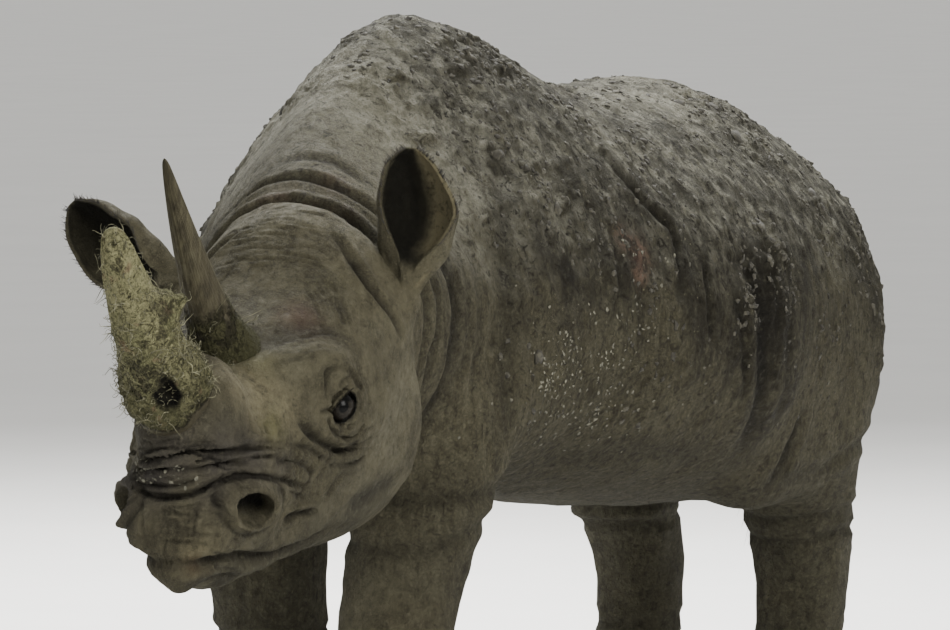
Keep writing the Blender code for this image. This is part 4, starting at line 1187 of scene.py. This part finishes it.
bodyMarks = {  # places in metres as bodyPoint takes them, spread, strength
    "wet": [((0.70, -0.46, 0.87), (0.07, 0.20, 0.12), 1.4), ((0.67, -0.45, 0.96), (0.05, 0.2, 0.07), 1.1),
            ((0.82, -0.43, 0.74), (0.10, 0.20, 0.12), 1.1), ((-0.045, -0.37, 1.02), (0.035, 0.15, 0.035), 1.3),
            ((-0.115, -0.355, 1.05), (0.05, 0.15, 0.04), 0.9), ((0.31, -0.355, 1.14), (0.05, 0.15, 0.05), 0.8),
            ((0.08, -0.33, 1.17), (0.07, 0.15, 0.05), 0.7), ((0.36, -0.42, 1.00), (0.03, 0.15, 0.10), 0.8),
            ((0.15, -0.14, 1.39), (0.06, 0.08, 0.05), 1.0), ((0.75, 0.45, 0.85), (0.10, 0.20, 0.20), 1.2),
            ((0.215, -0.40, 1.045), (0.030, 0.10, 0.045), 0.8)],
    "sore": [((0.19, -0.40, 1.075), (0.020, 0.1, 0.022), 1.0), ((0.235, -0.40, 1.045), (0.018, 0.1, 0.028), 0.9),
             ((0.21, -0.40, 1.010), (0.022, 0.1, 0.018), 0.9)],
    "rose": [((0.21, -0.40, 1.045), (0.036, 0.1, 0.040), 0.5), ((0.45, -0.15, 1.38), (0.05, 0.1, 0.04), 0.5)],
    "flakes": [((-0.02, -0.37, 0.84), (0.14, 0.2, 0.075), 2.6), ((0.17, -0.40, 0.93), (0.07, 0.2, 0.045), 1.6),
               ((0.24, -0.39, 1.04), (0.07, 0.2, 0.05), 0.7), ((0.05, -0.37, 0.76), (0.20, 0.2, 0.06), 1.6),
               ((0.45, -0.41, 0.76), (0.03, 0.2, 0.03), 0.6), ((0.10, 0.37, 0.88), (0.20, 0.2, 0.10), 0.8)],
    "clods": [((0.15, -0.13, 1.39), (0.05, 0.06, 0.04), 9.0), ((0.30, -0.34, 1.16), (0.20, 0.1, 0.08), 0.8),
              ((0.70, -0.45, 0.93), (0.07, 0.2, 0.08), 0.5)],
}


def insideEars(points):
    # painted shade on the hollow side of both ears, from how far in a point lies, less of it on the wall turned to the
    # light; and painted light on the near ear's lit inner wall
    dark, paintedEarLight = np.zeros(len(points)), np.zeros(len(points))
    for side in sides:
        _, widths, hollows, middles, _, faces, acrosses = (np.array(part) for part in zip(*earFrames(side)))
        near = np.where(np.linalg.norm(points - middles[len(middles) // 2], axis=1) < 0.20)[0]
        best = ((points[near][:, None] - middles[None]) ** 2).sum(2).argmin(1)
        local = points[near] - middles[best]
        u = (local * acrosses[best]).sum(1) / widths[best]
        v = (local * faces[best]).sum(1) / (widths[best] * earShape["cup"])
        core = 1 - ease(np.hypot(u, v), 0.88, 0.97)
        # the wall turned to the light gets less painted shade
        lit = 0.75 * ease(u, 0.05, 0.60) if side == "left" else 0.3 * ease(-u, 0.2, 0.7)
        dark[near] = np.maximum(dark[near], core * ease(hollows[best], 0.05, 0.5) * (1 - lit))
        # painted light on the lit inner wall of the near ear
        paintedEarLight[near] = np.maximum(paintedEarLight[near], core * ease(u, 0.20, 0.60) * (side == "left"))
    return dark, paintedEarLight


def markSkin(mesh, creaseShade, inside):
    points = pointsOf(mesh)
    q, body = headCoords(points), points - np.array(centring)
    face = faceShare(q)
    marks = {name: spotSum(q, spots) for name, spots in tints.items()}
    onBody = {name: spotSum(body, spots) for name, spots in bodyMarks.items()}
    back = ease(body[:, 2], 0.66, 0.98) * ease(body[:, 0], -0.36, 0.02)
    lower = ease(0.78 - body[:, 2], 0.0, 0.35) * (1 - face)
    marks["mud"] = np.clip((0.25 + 0.80 * back) * (1 - face) * (1 + 0.7 * noiseAt(points, 3.2, 5, 3)), 0, 1)
    marks["wet"] = np.clip(onBody["wet"] * (1 + 0.8 * noiseAt(points, 9.0, 6, 3)), 0, 1)
    marks["sore"] = np.clip(onBody["sore"], 0, 1)
    marks["rose"] = np.maximum(marks["rose"], onBody["rose"])
    clods = np.clip(back * (0.42 + 1.2 * noiseAt(points, 5.0, 7, 3)), 0, 1) * (1 - face)
    marks["clods"] = (clods + onBody["clods"]) * (1 - earZones(points)) * (1 - 0.85 * marks["wet"])
    upward = ease(normalsOf(mesh)[:, 2], 0.0, 0.75)
    # upward faces of the back: dried mud, and painted top light
    marks["dryMudAndTopLight"] = upward * ease(body[:, 0], -0.62, -0.2) * ease(body[:, 2], 0.80, 1.10)
    flakes = onBody["flakes"] * (0.3 + ease(noiseAt(points, 14.0, 3, 3), -0.1, 0.4))
    marks["flakes"] = np.clip(flakes, 0, 2.2) + spotSum(q, noseFlakes)
    marks["shade"] = np.maximum(marks["shade"], 0.45 * lower)
    marks["creaseShade"], marks["face"] = np.clip(creaseShade, 0, 1.2), face
    dark, paintedEarLight = insideEars(points)
    # painted shade inside the hollows and the ears
    marks["inside"] = np.maximum(inside, 0.95 * dark * (1 - paintedEarLight))
    # painted light on the near ear's lit inner wall, in the ochre colour
    marks["ochreAndEarLight"] = np.maximum(marks["ochreAndEarLight"], 1.6 * paintedEarLight)
    for name, values in marks.items():
        markOn(mesh, name, values)


def thinned(mesh, most):
    count = trianglesOf(mesh)
    if count <= most:
        return mesh
    return afterModifier(mesh, "DECIMATE", decimate_type="COLLAPSE", ratio=most / count)


sculpted = pointsOf(skinMesh)
skinMesh = thinned(skinMesh, skinShape["most"])
creaseShade, inside = carried(sculpted, [creaseShade, inside], pointsOf(skinMesh))
markSkin(skinMesh, creaseShade, inside)
skin = inScene("skin", skinMesh)
finishPiece(skin, hideMaterial(), skinShape["flesh"] + ["tail", "ear_left", "ear_right"])
print("skin done:", trianglesOf(skinMesh), "triangles")

hornLook = {
    "rows": 120, "sides": 96,
    "front": {"fibres": 46, "groove": 0.0007, "felt": 0.0055, "lump": 0.013, "covered": (0.20, 0.28),
              "woolly": (0.20, 0.28), "ragged": (0.7, 0.4)},
    "rear": {"fibres": 40, "groove": 0.0010, "felt": 0.0035, "lump": 0.0060, "covered": (0.42, 0.12),
             "woolly": (0.46, 0.20), "ragged": (0.6, 0.5)},
    "wad": ((0.60, 2.45), (0.065, 0.50)),  # place (share, angle) and reach of the wad behind the front horn
    "wadHeight": 0.034,
    "low": (0.34, 0.08, 0.9, 0.010),  # share, reach, angle and height of the thicker felt low on the front horn
    "bare": ((0.390, 0.52), (0.072, 0.36)),  # place (share, angle) and reach of the hole in the felt
    "holeDepth": 0.018,
    "horn": {"dark": (0.021, 0.018, 0.011), "light": (0.058, 0.052, 0.031), "pale": (0.105, 0.098, 0.062)},
    "wool": {"dark": (0.026, 0.025, 0.012), "light": (0.208, 0.200, 0.108), "green": (0.090, 0.092, 0.045),
             "pink": (0.130, 0.088, 0.055)},
    # painted shade in the hole in the front horn's felt
    "hollow": (0.005, 0.0045, 0.003),
}


def hornSpot(share, angle, spot):
    (atShare, atAngle), (reach, wide) = spot
    return float(bell(share - atShare, reach)) * float(bell((angle - atAngle + pi) % (2 * pi) - pi, wide))


def hornMesh(kind):
    spec, look = hornShape[kind], hornLook[kind]
    taper = smoothRows(spec["taper"], 200)
    lowShare, lowReach, lowAngle, lowHeight = hornLook["low"]
    coarsely, finely = look["ragged"]
    rings, rows = [], []
    for share, place, way, fore in alongHorn(spec, np.linspace(-0.03, 1, hornLook["rows"])):
        size = np.interp(max(share, 0), taper[:, 0], taper[:, 1])
        tip = sqrt(max(0.0, 1 - max(0.0, (share - 0.965) / 0.035) ** 2))
        cover = float(ease(share, *look["covered"])) * (1 - 0.85 * float(ease(share, 0.40, 0.85)))
        woolly, fewer = float(ease(share, *look["woolly"])), 1 - 0.8 * float(ease(share, 0.62, 0.90))
        ring = []
        for c in range(hornLook["sides"]):
            a = 2 * pi * c / hornLook["sides"]
            away = fore * cos(a) * spec["radii"][0] + left * sin(a) * spec["radii"][1]
            base = place + away * size * max(tip, 0.05)
            coarse = noise.fractal(base * 17 + Vector((3.1, 0, 0)), 1.0, 2.0, 3)
            rough = noise.fractal(base * 60, 1.0, 2.0, 4)
            strands = a * look["fibres"]
            fibre = look["groove"] * (sin(strands + 5 * noise.noise(base * 9)) + 0.6 * sin(strands * 2.3 + 1))
            grow = look["felt"] * cover * (0.9 + 0.5 * coarse + 0.35 * rough)
            grow = grow + look["lump"] * cover * max(0.0, coarse) + fibre
            hole = 0
            if kind == "front":
                low = float(bell(share - lowShare, lowReach)) * (0.5 + 0.5 * cos(a - lowAngle)) * lowHeight
                ragged = max(0.0, 0.9 + 1.6 * coarse + 0.5 * rough)
                hole = min(1.0, hornSpot(share, a, hornLook["bare"]) * ragged)
                raised = hornLook["wadHeight"] * hornSpot(share, a, hornLook["wad"]) + low * (1 - hole)
                grow = grow * (1 - hole) - hornLook["holeDepth"] * hole + raised * (0.9 + 0.6 * rough)
            ring.append(base + away.normalized() * grow * max(tip, 0.3))
            felt = woolly * (1 - hole) * min(1.0, max(0.45, 0.85 + coarsely * coarse + finely * rough))
            stems = max(felt ** 2, hole) * fewer * max(0.15, min(1.0, 0.7 + 1.2 * coarse))
            rows.append((felt, share, stems, hole))
        rings.append(ring)
    mesh = loft("horn", rings)
    rows += [(0, 0, 0, 0), (0.8, 1, 0.1, 0)]  # the middles of both ends
    for name, values in zip(("felt", "share", "stems", "hollow"), zip(*rows)):
        markOn(mesh, name, values)
    markOn(mesh, "rear", [float(kind == "rear")] * len(rows))
    return mesh


def hornMaterial():
    f = Finish("hornAndFelt")
    horn, wool = hornLook["horn"], hornLook["wool"]
    felt, share, hollow = f.mark("felt"), f.mark("share"), f.mark("hollow")
    place = f.place()
    fibre = f.noise(60.0, f.place(scale=(1.6, 1.6, 0.10)), detail=6, rough=0.7)
    patch = f.noise(16.0, place, detail=5)
    tangle = f.noise(75.0, place, detail=8, rough=0.78, warp=1.6)
    pinkness = f.noise(24.0, f.place(location=(2.0, 0, 0)), detail=4)
    gaps = f.noise(42.0, place, detail=6, rough=0.7, warp=1.0)
    threads = f.cells(120.0, f.place(scale=(1, 1, 0.8)))
    colour = f.layered(
        horn["dark"], horn,
        (f.span(fibre, 0.30, 0.74), "light"),
        (f.span(patch, 0.56, 0.74) * 0.30, "pale"),
        (f.span(share, 0.34, 0.16) * 0.85, "dark"))
    woolly = f.layered(
        wool["dark"], wool,
        (f.span(tangle, 0.38, 0.62), "light"),
        (f.span(patch, 0.45, 0.62) * 0.50, "green"),
        (f.span(share, 0.52, 0.26) * 0.62, "dark"),
        (f.span(share, 0.55, 0.85) * f.span(tangle, 0.35, 0.55) * 0.7, "light"),
        (f.span(pinkness, 0.58, 0.70) * 0.6, "pink"),
        (f.span(gaps, 0.44, 0.34) * 0.75, "dark"),
        (f.mark("rear") * 0.55, "dark"))
    covered = f.span(felt + (tangle - 0.5) * 0.7, 0.25, 0.60)
    colour = f.blend(covered, colour, woolly)
    # painted shade in the hole in the felt
    colour = f.blend(f.span(hollow, 0.10, 0.55), colour, hornLook["hollow"])
    grooves = f.bump(fibre, 0.004, 0.8)
    matted = f.bump(tangle * covered, 0.010, 1.0, grooves)
    netted = f.bump(f.span(threads, 0.0, 0.25) * covered, 0.003, 0.7, matted)
    return f.done(colour, f.span(covered + hollow * 2, 0.0, 1.0, 0.66, 0.95), netted, specular=0.11)


hornPaint = hornMaterial()
horns = {}
for kind in hornShape:
    horns[kind] = inScene(kind + "Horn", hornMesh(kind))
    finishPiece(horns[kind], hornPaint, ["horn_" + kind])
print("horns done")

eyeLook = {
    "iris": (0.009, 0.0075, 0.006), "ring": (0.017, 0.015, 0.012), "white": (0.008, 0.0065, 0.005),
    "black": (0.002, 0.002, 0.002), "shaded": (0.001, 0.001, 0.001),
    "pupil": 0.26, "edge": 0.66,  # pupil and iris edge as shares of the ball's radius
    "roughness": 0.20, "specular": 0.07,
}


def eyeMesh(side):
    axes = eyeAxes(side)
    out = axes[2]
    centre = middleOf("eye_" + side) - out * (eyeShape["sink"] + eyeShape["deeper"])
    mesh = ellipsoid(centre, axes, (eyeShape["radius"],) * 3, 64, 48)
    points = pointsOf(mesh)
    x, y, z = ((points - np.array(centre)) @ np.array(axes).T / eyeShape["radius"]).T
    cornea = np.where(z > 0, bell(np.hypot(x, y), 0.62), 0)
    setPoints(mesh, points + np.outer(cornea * 0.0012, np.array(out)))
    markOn(mesh, "iris", np.where(z > 0, np.hypot(x, y), 1.5))
    markOn(mesh, "above", ease(0.85 * y - 0.50 * x, 0.05, 0.30))
    markOn(mesh, "pupil", np.where(z > 0, np.hypot(x / 1.35, y), 1.5))
    return mesh


def eyeMaterial():
    f = Finish("eye")
    iris, pupil, edge, hole = f.mark("iris"), f.mark("pupil"), eyeLook["edge"], eyeLook["pupil"]
    colour = f.layered(
        eyeLook["iris"], eyeLook,
        (f.span(f.noise(300.0, detail=4), 0.4, 0.65), "ring"),
        (f.span(iris, edge - 0.04, edge + 0.05), "white"),
        (f.span(iris, edge - 0.12, edge - 0.02) * 0.6, "iris"),
        (f.span(pupil, hole + 0.03, hole - 0.03), "black"),
        (f.mark("above") * 0.95, "shaded"))  # under the upper lid
    return f.done(colour, eyeLook["roughness"], specular=eyeLook["specular"])


eyePaint = eyeMaterial()
for side in sides:
    finishPiece(inScene(side + "Eye", eyeMesh(side)), eyePaint, ["eye_" + side])
print("eyes done")

nailLook = {
    "base": (0.040, 0.036, 0.028), "light": (0.085, 0.078, 0.060), "dirt": (0.020, 0.018, 0.013), "swell": 0.0015,
}


def nailMaterial():
    f = Finish("nail")
    bands = f.noise(30.0, f.place(scale=(0.6, 0.6, 4.0)), detail=5, rough=0.6)
    grain = f.noise(120.0, f.place(scale=(1.5, 1.5, 0.4)), detail=5, rough=0.7)
    patch = f.noise(22.0, detail=4)
    colour = f.layered(nailLook["base"], nailLook, (f.span(bands, 0.35, 0.65), "light"),
                       (f.span(patch, 0.48, 0.64) * 0.8, "dirt"))
    normal = f.bump(grain, 0.002, 0.7, f.bump(bands, 0.004, 0.6))
    return f.done(colour, f.span(patch, 0.4, 0.7, 0.55, 0.85), normal)


def nailsMesh(names):
    form = bmesh.new()
    for name in names:
        form.from_mesh(mergedNode(name, nailLook["swell"]))
    mesh = afterModifier(meshOf(form, "nails"), "SUBSURF", levels=2, render_levels=2)
    points = pointsOf(mesh)
    points += normalsOf(mesh) * (0.0015 * noiseAt(points, 40.0, 8, 3))[:, None]
    points[:, 2] = np.maximum(points[:, 2], 0)
    setPoints(mesh, points)
    return mesh


nailNodes = [n for n in frame["nodes"] if n.startswith("nail_")]
nails = inScene("nails", nailsMesh(nailNodes))
finishPiece(nails, nailMaterial(), nailNodes)
print("nails done")


def kindsOf(name, meshes):
    group = bpy.data.collections.new(name + "Kinds")
    for k, mesh in enumerate(meshes):
        group.objects.link(bpy.data.objects.new(name + "Kind" + str(k), mesh))
    return group


def strewnTree(name, kinds, material):
    # points by a mask on the ground, one of the kinds on each, leaning from the normal at random
    tree = bpy.data.node_groups.new(name, "GeometryNodeTree")
    inputs = (("Geometry", "Geometry"), ("Mask", "String"), ("Per Square Metre", "Float"), ("Least Size", "Float"),
              ("Most Size", "Float"), ("Lean", "Float"), ("Lift", "Float"), ("Seed", "Int"))
    for label, kind in inputs:
        tree.interface.new_socket(name=label, in_out="INPUT", socket_type="NodeSocket" + kind)
    tree.interface.new_socket(name="Geometry", in_out="OUTPUT", socket_type="NodeSocketGeometry")
    given = tree.nodes.new("NodeGroupInput").outputs
    lean, seed = given["Lean"], given["Seed"]

    def node(kind, settings, *links, output=0):
        made = tree.nodes.new(kind)
        for key, value in settings.items():
            setattr(made, key, value)
        for slot, value in links:
            if isinstance(value, bpy.types.NodeSocket):
                tree.links.new(value, made.inputs[slot])
            else:
                made.inputs[slot].default_value = value
        return made.outputs[output] if made.outputs else made

    def times(a, b):
        return node("ShaderNodeMath", {"operation": "MULTIPLY"}, (0, a), (1, b))

    def spin(tilt, roll):
        return node("ShaderNodeCombineXYZ", {}, (0, tilt), (1, tilt), (2, roll))

    mask = node("GeometryNodeInputNamedAttribute", {"data_type": "FLOAT"}, ("Name", given["Mask"]))
    spots = node("GeometryNodeDistributePointsOnFaces", {"distribute_method": "RANDOM"}, ("Mesh", given["Geometry"]),
                 ("Density", times(mask, given["Per Square Metre"])), ("Seed", seed)).node.outputs
    raised = node("ShaderNodeVectorMath", {"operation": "SCALE"}, (0, spots["Normal"]), ("Scale", given["Lift"]))
    lifted = node("GeometryNodeSetPosition", {}, ("Geometry", spots["Points"]), ("Offset", raised))
    chance = node("FunctionNodeRandomValue", {"data_type": "FLOAT_VECTOR"}, ("Min", spin(times(lean, -1.0), -pi)),
                  ("Max", spin(lean, pi)), ("Seed", seed))
    turned = node("FunctionNodeRotateRotation", {"rotation_space": "LOCAL"}, (0, spots["Rotation"]),
                  (1, node("FunctionNodeEulerToRotation", {}, (0, chance))))
    size = node("FunctionNodeRandomValue", {"data_type": "FLOAT"}, (2, given["Least Size"]), (3, given["Most Size"]),
                ("Seed", seed), output=1)
    kindsIn = node("GeometryNodeCollectionInfo", {"transform_space": "ORIGINAL"}, ("Collection", kinds),
                   ("Separate Children", True), ("Reset Children", True))
    placed = node("GeometryNodeInstanceOnPoints", {}, ("Points", lifted), ("Instance", kindsIn),
                  ("Pick Instance", True), ("Rotation", turned), ("Scale", size))
    real = node("GeometryNodeRealizeInstances", {}, (0, placed))
    node("NodeGroupOutput", {}, (0, node("GeometryNodeSetMaterial", {}, (0, real), ("Material", material))))
    return tree


def strew(name, ground, meshes, material, slot, values):
    kinds = kindsOf(name, meshes)
    tree = strewnTree(name, kinds, material)
    host = inScene(name + "Host", ground.data.copy())
    modifier = host.modifiers.new(name, "NODES")
    modifier.node_group = tree
    sockets = [item for item in tree.interface.items_tree if item.in_out == "INPUT"][1:]
    for socket, value in zip(sockets, values):
        modifier[socket.identifier] = value
    made = plainMesh(host)
    for spare in (host, *kinds.objects):
        bpy.data.objects.remove(spare)
    bpy.data.collections.remove(kinds)
    finishPiece(inScene(name, made), material)
    print(name + ":", trianglesOf(made), "triangles")


def clodMesh(seed, flat, reach):
    form = bmesh.new()
    bmesh.ops.create_uvsphere(form, u_segments=7, v_segments=4, radius=1)
    wide, shift, other = 1 + 0.3 * sin(seed), Vector((seed * 5.1, 0, 0)), Vector((0, seed, 0))
    for vertex in form.verts:
        place = vertex.co
        bump = 1 + 0.8 * noise.noise(place * 1.6 + shift) + 0.4 * noise.noise(place * 3.7 + other)
        vertex.co = Vector((place.x * bump * wide, place.y * bump, place.z * bump * flat)) * reach
    return meshOf(form, "clod")


def strandMesh(seed, length, radius, curl, segments=9):
    # a curling stem with three sides, growing up from its root
    dice = np.random.default_rng(seed)
    way = Vector((dice.normal(0, 0.5), dice.normal(0, 0.5), 0.7)).normalized()
    place = Vector((0, 0, -radius))
    axis = Vector(dice.normal(0, 1, 3)).normalized()
    points = []
    for k in range(segments + 1):
        side = way.orthogonal().normalized()
        points += ringAt(place, side, way.cross(side), radius * (1 - 0.75 * k / segments))
        way = (Matrix.Rotation(curl / segments * (1 + 0.6 * dice.normal()), 3, axis) @ way).normalized()
        if way.z < -0.25:
            way.z *= 0.2
        axis = (axis + Vector(dice.normal(0, 0.35, 3))).normalized()
        place = place + way * length / segments
    faces = ringFaces(segments + 1, 3) + [(2, 1, 0), (len(points) - 3, len(points) - 2, len(points) - 1)]
    return facedOut(meshFrom("strand", points, faces))


def crumbMaterial(name, dark, light, scale, rough):
    f = Finish(name)
    tone = f.noise(scale, detail=5, rough=0.65)
    broad = f.noise(7.0, detail=3)
    colour = f.blend(f.span(tone, 0.36, 0.66), dark, light)
    colour = f.blend(f.span(broad, 0.42, 0.66) * 0.6, colour, dark)
    return f.done(colour, rough, f.bump(tone, 0.003, 0.8))


def clods(first, count, flat, reach):
    return [clodMesh(k, flat, reach) for k in range(first, first + count)]


def stems(first, count, *size):
    return [strandMesh(k, *size) for k in range(first, first + count)]


mudPaint = crumbMaterial("driedMud", (0.016, 0.014, 0.010), (0.050, 0.046, 0.032), 90.0, 0.95)
flakePaint = crumbMaterial("paleFlakes", (0.052, 0.050, 0.036), (0.128, 0.123, 0.089), 60.0, 0.9)
litterPaint = crumbMaterial("driedStems", (0.055, 0.053, 0.028), (0.200, 0.192, 0.118), 35.0, 0.9)
stemSize = (0.034, 0.0010, 8.0)  # length, radius, curl in radians
strewn = {  # ground, kinds, paint, slot, then mask, number per square metre, least and most size, lean, lift, seed
    "mudClods": (skin, clods(0, 6, 0.55, 0.0052), mudPaint, "hide", ("clods", 2500.0, 0.3, 1.4, 0.5, -0.0005, 4)),
    "mudLumps": (skin, clods(10, 6, 0.5, 0.0105), mudPaint, "hide", ("clods", 45.0, 0.5, 1.5, 0.4, -0.002, 5)),
    "paleCrumbs": (skin, clods(20, 5, 0.26, 0.0028), flakePaint, "hide",
                   ("flakes", 3800.0, 0.35, 1.5, 0.35, 0.0005, 9)),
    "stemsFront": (horns["front"], stems(0, 10, *stemSize), litterPaint, "horn",
                   ("stems", 12500.0, 0.5, 1.2, 1.5, 0.0, 6)),
    "stemsBridge": (skin, stems(60, 6, *stemSize), litterPaint, "horn", ("straw", 12500.0, 0.5, 1.2, 1.5, 0.0, 6)),
    "stemsRear": (horns["rear"], stems(40, 6, 0.05, 0.0009, 4.0), litterPaint, "horn",
                  ("stems", 1200.0, 0.6, 1.6, 1.2, 0.0, 12)),
}
for name, row in strewn.items():
    strew(name, *row)

hairLook = {
    "rim": {"count": 170, "length": (0.006, 0.013), "width": 0.0009, "from": 0.36},
    "tuft": {"count": 230, "length": (0.060, 0.130), "width": 0.0016, "from": 0.62},
    "lash": {"count": 46, "length": (0.010, 0.018), "width": 0.0009},
    "patch": 0.003,  # size of a tuft's place on the unwrap
    "root": (0.010, 0.009, 0.007), "tip": (0.030, 0.024, 0.017),
}


def hairMesh(tufts):
    # each tuft: root, way, sag, length, width, place on the unwrap
    points, faces, spots = [], [], []
    steps, patch = 4, hairLook["patch"]
    for root, way, sag, length, width, place in tufts:
        first = len(points)
        side = way.orthogonal().normalized()
        other = way.cross(side).normalized()
        for k in range(steps + 1):
            t = k / steps
            middle = root + way * length * t + sag * length * t * t
            points += ringAt(middle, side, other, width * (1 - 0.92 * t))
            spots += [(place[0] + patch * (c / 2 - 0.5), place[1] + patch * (t - 0.5)) for c in range(3)]
        faces += ringFaces(steps + 1, 3, first)
        last = first + steps * 3
        faces += [(first + 2, first + 1, first), (last, last + 1, last + 2)]
    mesh = meshFrom("hair", points, faces)
    layer = mesh.uv_layers.new(name="OFBake")
    for loop in mesh.loops:
        layer.data[loop.index].uv = spots[loop.vertex_index]
    return facedOut(mesh)


def hairMaterial():
    f = Finish("hair")
    colour = f.blend(f.span(f.noise(45.0, detail=4), 0.35, 0.68), hairLook["root"], hairLook["tip"])
    return f.done(colour, 0.55, specular=0.4)


def rimTufts(side, dice):
    look, rows = hairLook["rim"], rims[side]
    tufts = []
    for k in range(look["count"]):
        spot = dice.uniform(look["from"], 1.0) * (len(rows) - 1)
        share, first, last, across, face, axis = rows[int(spot)]
        following = rows[min(int(spot) + 1, len(rows) - 1)]
        near, sign = (first, -1) if k % 2 else (last, 1)
        onward = following[1] if k % 2 else following[2]
        root = near.lerp(onward, spot % 1)
        out = (across * sign * 0.8 + axis * (0.6 + share * 0.6) + face * dice.uniform(-0.1, 0.5)
               + Vector(dice.normal(0, 0.18, 3))).normalized()
        length = dice.uniform(*look["length"]) * (0.6 + 0.5 * share)
        place = (0.04 + 0.18 * share + (0.5 if side == "right" else 0) + (0.2 if k % 2 else 0), 0.1 + 0.8 * share)
        tufts.append((root - out * 0.002, out, Vector(dice.normal(0, 0.15, 3)), length, look["width"], place))
    return tufts


def tailTufts(dice):
    look, rows = hairLook["tuft"], list(tailRows())
    tufts = []
    for k in range(look["count"]):
        spot = dice.uniform(look["from"], 1.0) * (len(rows) - 1)
        row, centre, fore, way, across, deep = rows[int(spot)]
        angle = dice.choice([0, pi]) + dice.normal(0, 0.5)
        outward = sideways * cos(angle) + fore * sin(angle) * 0.7
        root = centre + sideways * across * 0.9 * cos(angle) + fore * deep * 0.9 * sin(angle)
        lie = (outward * 0.5 + way * 1.0 + Vector(dice.normal(0, 0.10, 3))).normalized()
        length = min(dice.uniform(*look["length"]), (root.z - 0.36) * 0.98)
        tufts.append((root, lie, Vector((0, 0, -0.25)) + outward * -0.12, length, look["width"],
                      (0.05 + 0.9 * ((angle / (2 * pi)) % 1), 0.05 + 0.9 * spot / len(rows))))
    return tufts


def lashTufts(side, dice):
    look = hairLook["lash"]
    fore, rise, out = eyeAxes(side)
    centre = middleOf("eye_" + side) - out * eyeShape["sink"]
    tufts = []
    for k in range(look["count"]):
        angle = radians(12 + 156 * (k + dice.uniform(-0.3, 0.3)) / (look["count"] - 1))
        x, y = eyeShape["half"] * 1.04 * cos(angle), eyeShape["rise"] * 1.06 * sin(angle)
        z = sqrt(max(0.0, (eyeShape["radius"] + eyeShape["lid"]) ** 2 - x * x - y * y)) - 0.001
        root = centre + fore * x + rise * y + out * z
        way = (out * 0.9 + rise * 0.25 + fore * 0.5 * cos(angle) + Vector(dice.normal(0, 0.08, 3))).normalized()
        tufts.append((root, way, rise * -0.15, dice.uniform(*look["length"]), look["width"],
                      ((0.25 if side == "left" else 0.75) + 0.2 * cos(angle), 0.5 + 0.2 * sin(angle))))
    return tufts


hairPaint = hairMaterial()
dice = np.random.default_rng(21)
tufts = {
    "earFringe": [tuft for side in sides for tuft in rimTufts(side, dice)],
    "tailTuft": tailTufts(dice),
    "lashes": [tuft for side in sides for tuft in lashTufts(side, dice)],
}
for name, hairs in tufts.items():
    finishPiece(inScene(name, hairMesh(hairs)), hairPaint)
print("hair done")

stage = {
    "beta": 26.0, "distance": 13.5, "height": 1.75, "turn": -0.6213817, "dip": 3.4513365, "focal": 7350,
    "imageWidth": 950, "sensor": 36.0,
    "floor": (0.80, 0.79, 0.77), "sky": (0.89, 0.89, 0.87), "skyStrength": 0.9, "lookAt": (0, 0, 0.9),
}


def makeCamera():
    beta = radians(stage["beta"])
    data = bpy.data.cameras.new("camera")
    camera = inScene("camera", data)
    camera.location = bodyPoint(-stage["distance"] * cos(beta), -stage["distance"] * sin(beta), stage["height"])
    aim, dip = beta + radians(stage["turn"]), radians(stage["dip"])
    way = Vector((cos(aim) * cos(dip), sin(aim) * cos(dip), -sin(dip)))
    camera.rotation_euler = way.to_track_quat("-Z", "Y").to_euler()
    data.sensor_width = stage["sensor"]
    data.lens = stage["focal"] / stage["imageWidth"] * stage["sensor"]
    data.clip_end = 800
    bpy.context.scene.camera = camera


def makeLights():
    lights = {  # place, size, power, colour
        "key": ((-3.6, -5.8, 4.0), 3.2, 610, (1.0, 0.985, 0.94)),
        "front": ((-5.6, -1.0, 3.2), 3.0, 70, (1.0, 1.0, 0.97)),
        "fill": ((-4.0, 4.0, 3.0), 4.0, 50, (0.95, 0.96, 1.0)),
        "rim": ((4.5, 2.6, 5.4), 3.0, 950, (1.0, 1.0, 0.98)),
        "top": ((2.4, 1.0, 5.5), 3.0, 560, (0.98, 0.98, 0.97)),
    }
    for name, (place, size, power, colour) in lights.items():
        data = bpy.data.lights.new(name, "AREA")
        data.size, data.energy, data.color = size, power, colour
        lamp = inScene(name, data)
        lamp.location = place
        lamp.rotation_euler = (Vector(stage["lookAt"]) - Vector(place)).to_track_quat("-Z", "Y").to_euler()
    world = bpy.data.worlds.new("sky")
    bpy.context.scene.world = world
    world.use_nodes = True
    backdrop = world.node_tree.nodes["Background"]
    backdrop.inputs[0].default_value = (*stage["sky"], 1)
    backdrop.inputs[1].default_value = stage["skyStrength"]


def makeFloor():
    form = bmesh.new()
    bmesh.ops.create_circle(form, cap_ends=True, segments=96, radius=300)
    floor = inScene("floor", meshOf(form, "floor"))
    f = Finish("floorPaint")
    tone = f.noise(1.5, detail=3)
    base = stage["floor"]
    floor.data.materials.append(f.done(f.blend(f.span(tone, 0.3, 0.7), base, tuple(c * 0.97 for c in base)), 0.9))


makeCamera()
makeLights()
makeFloor()
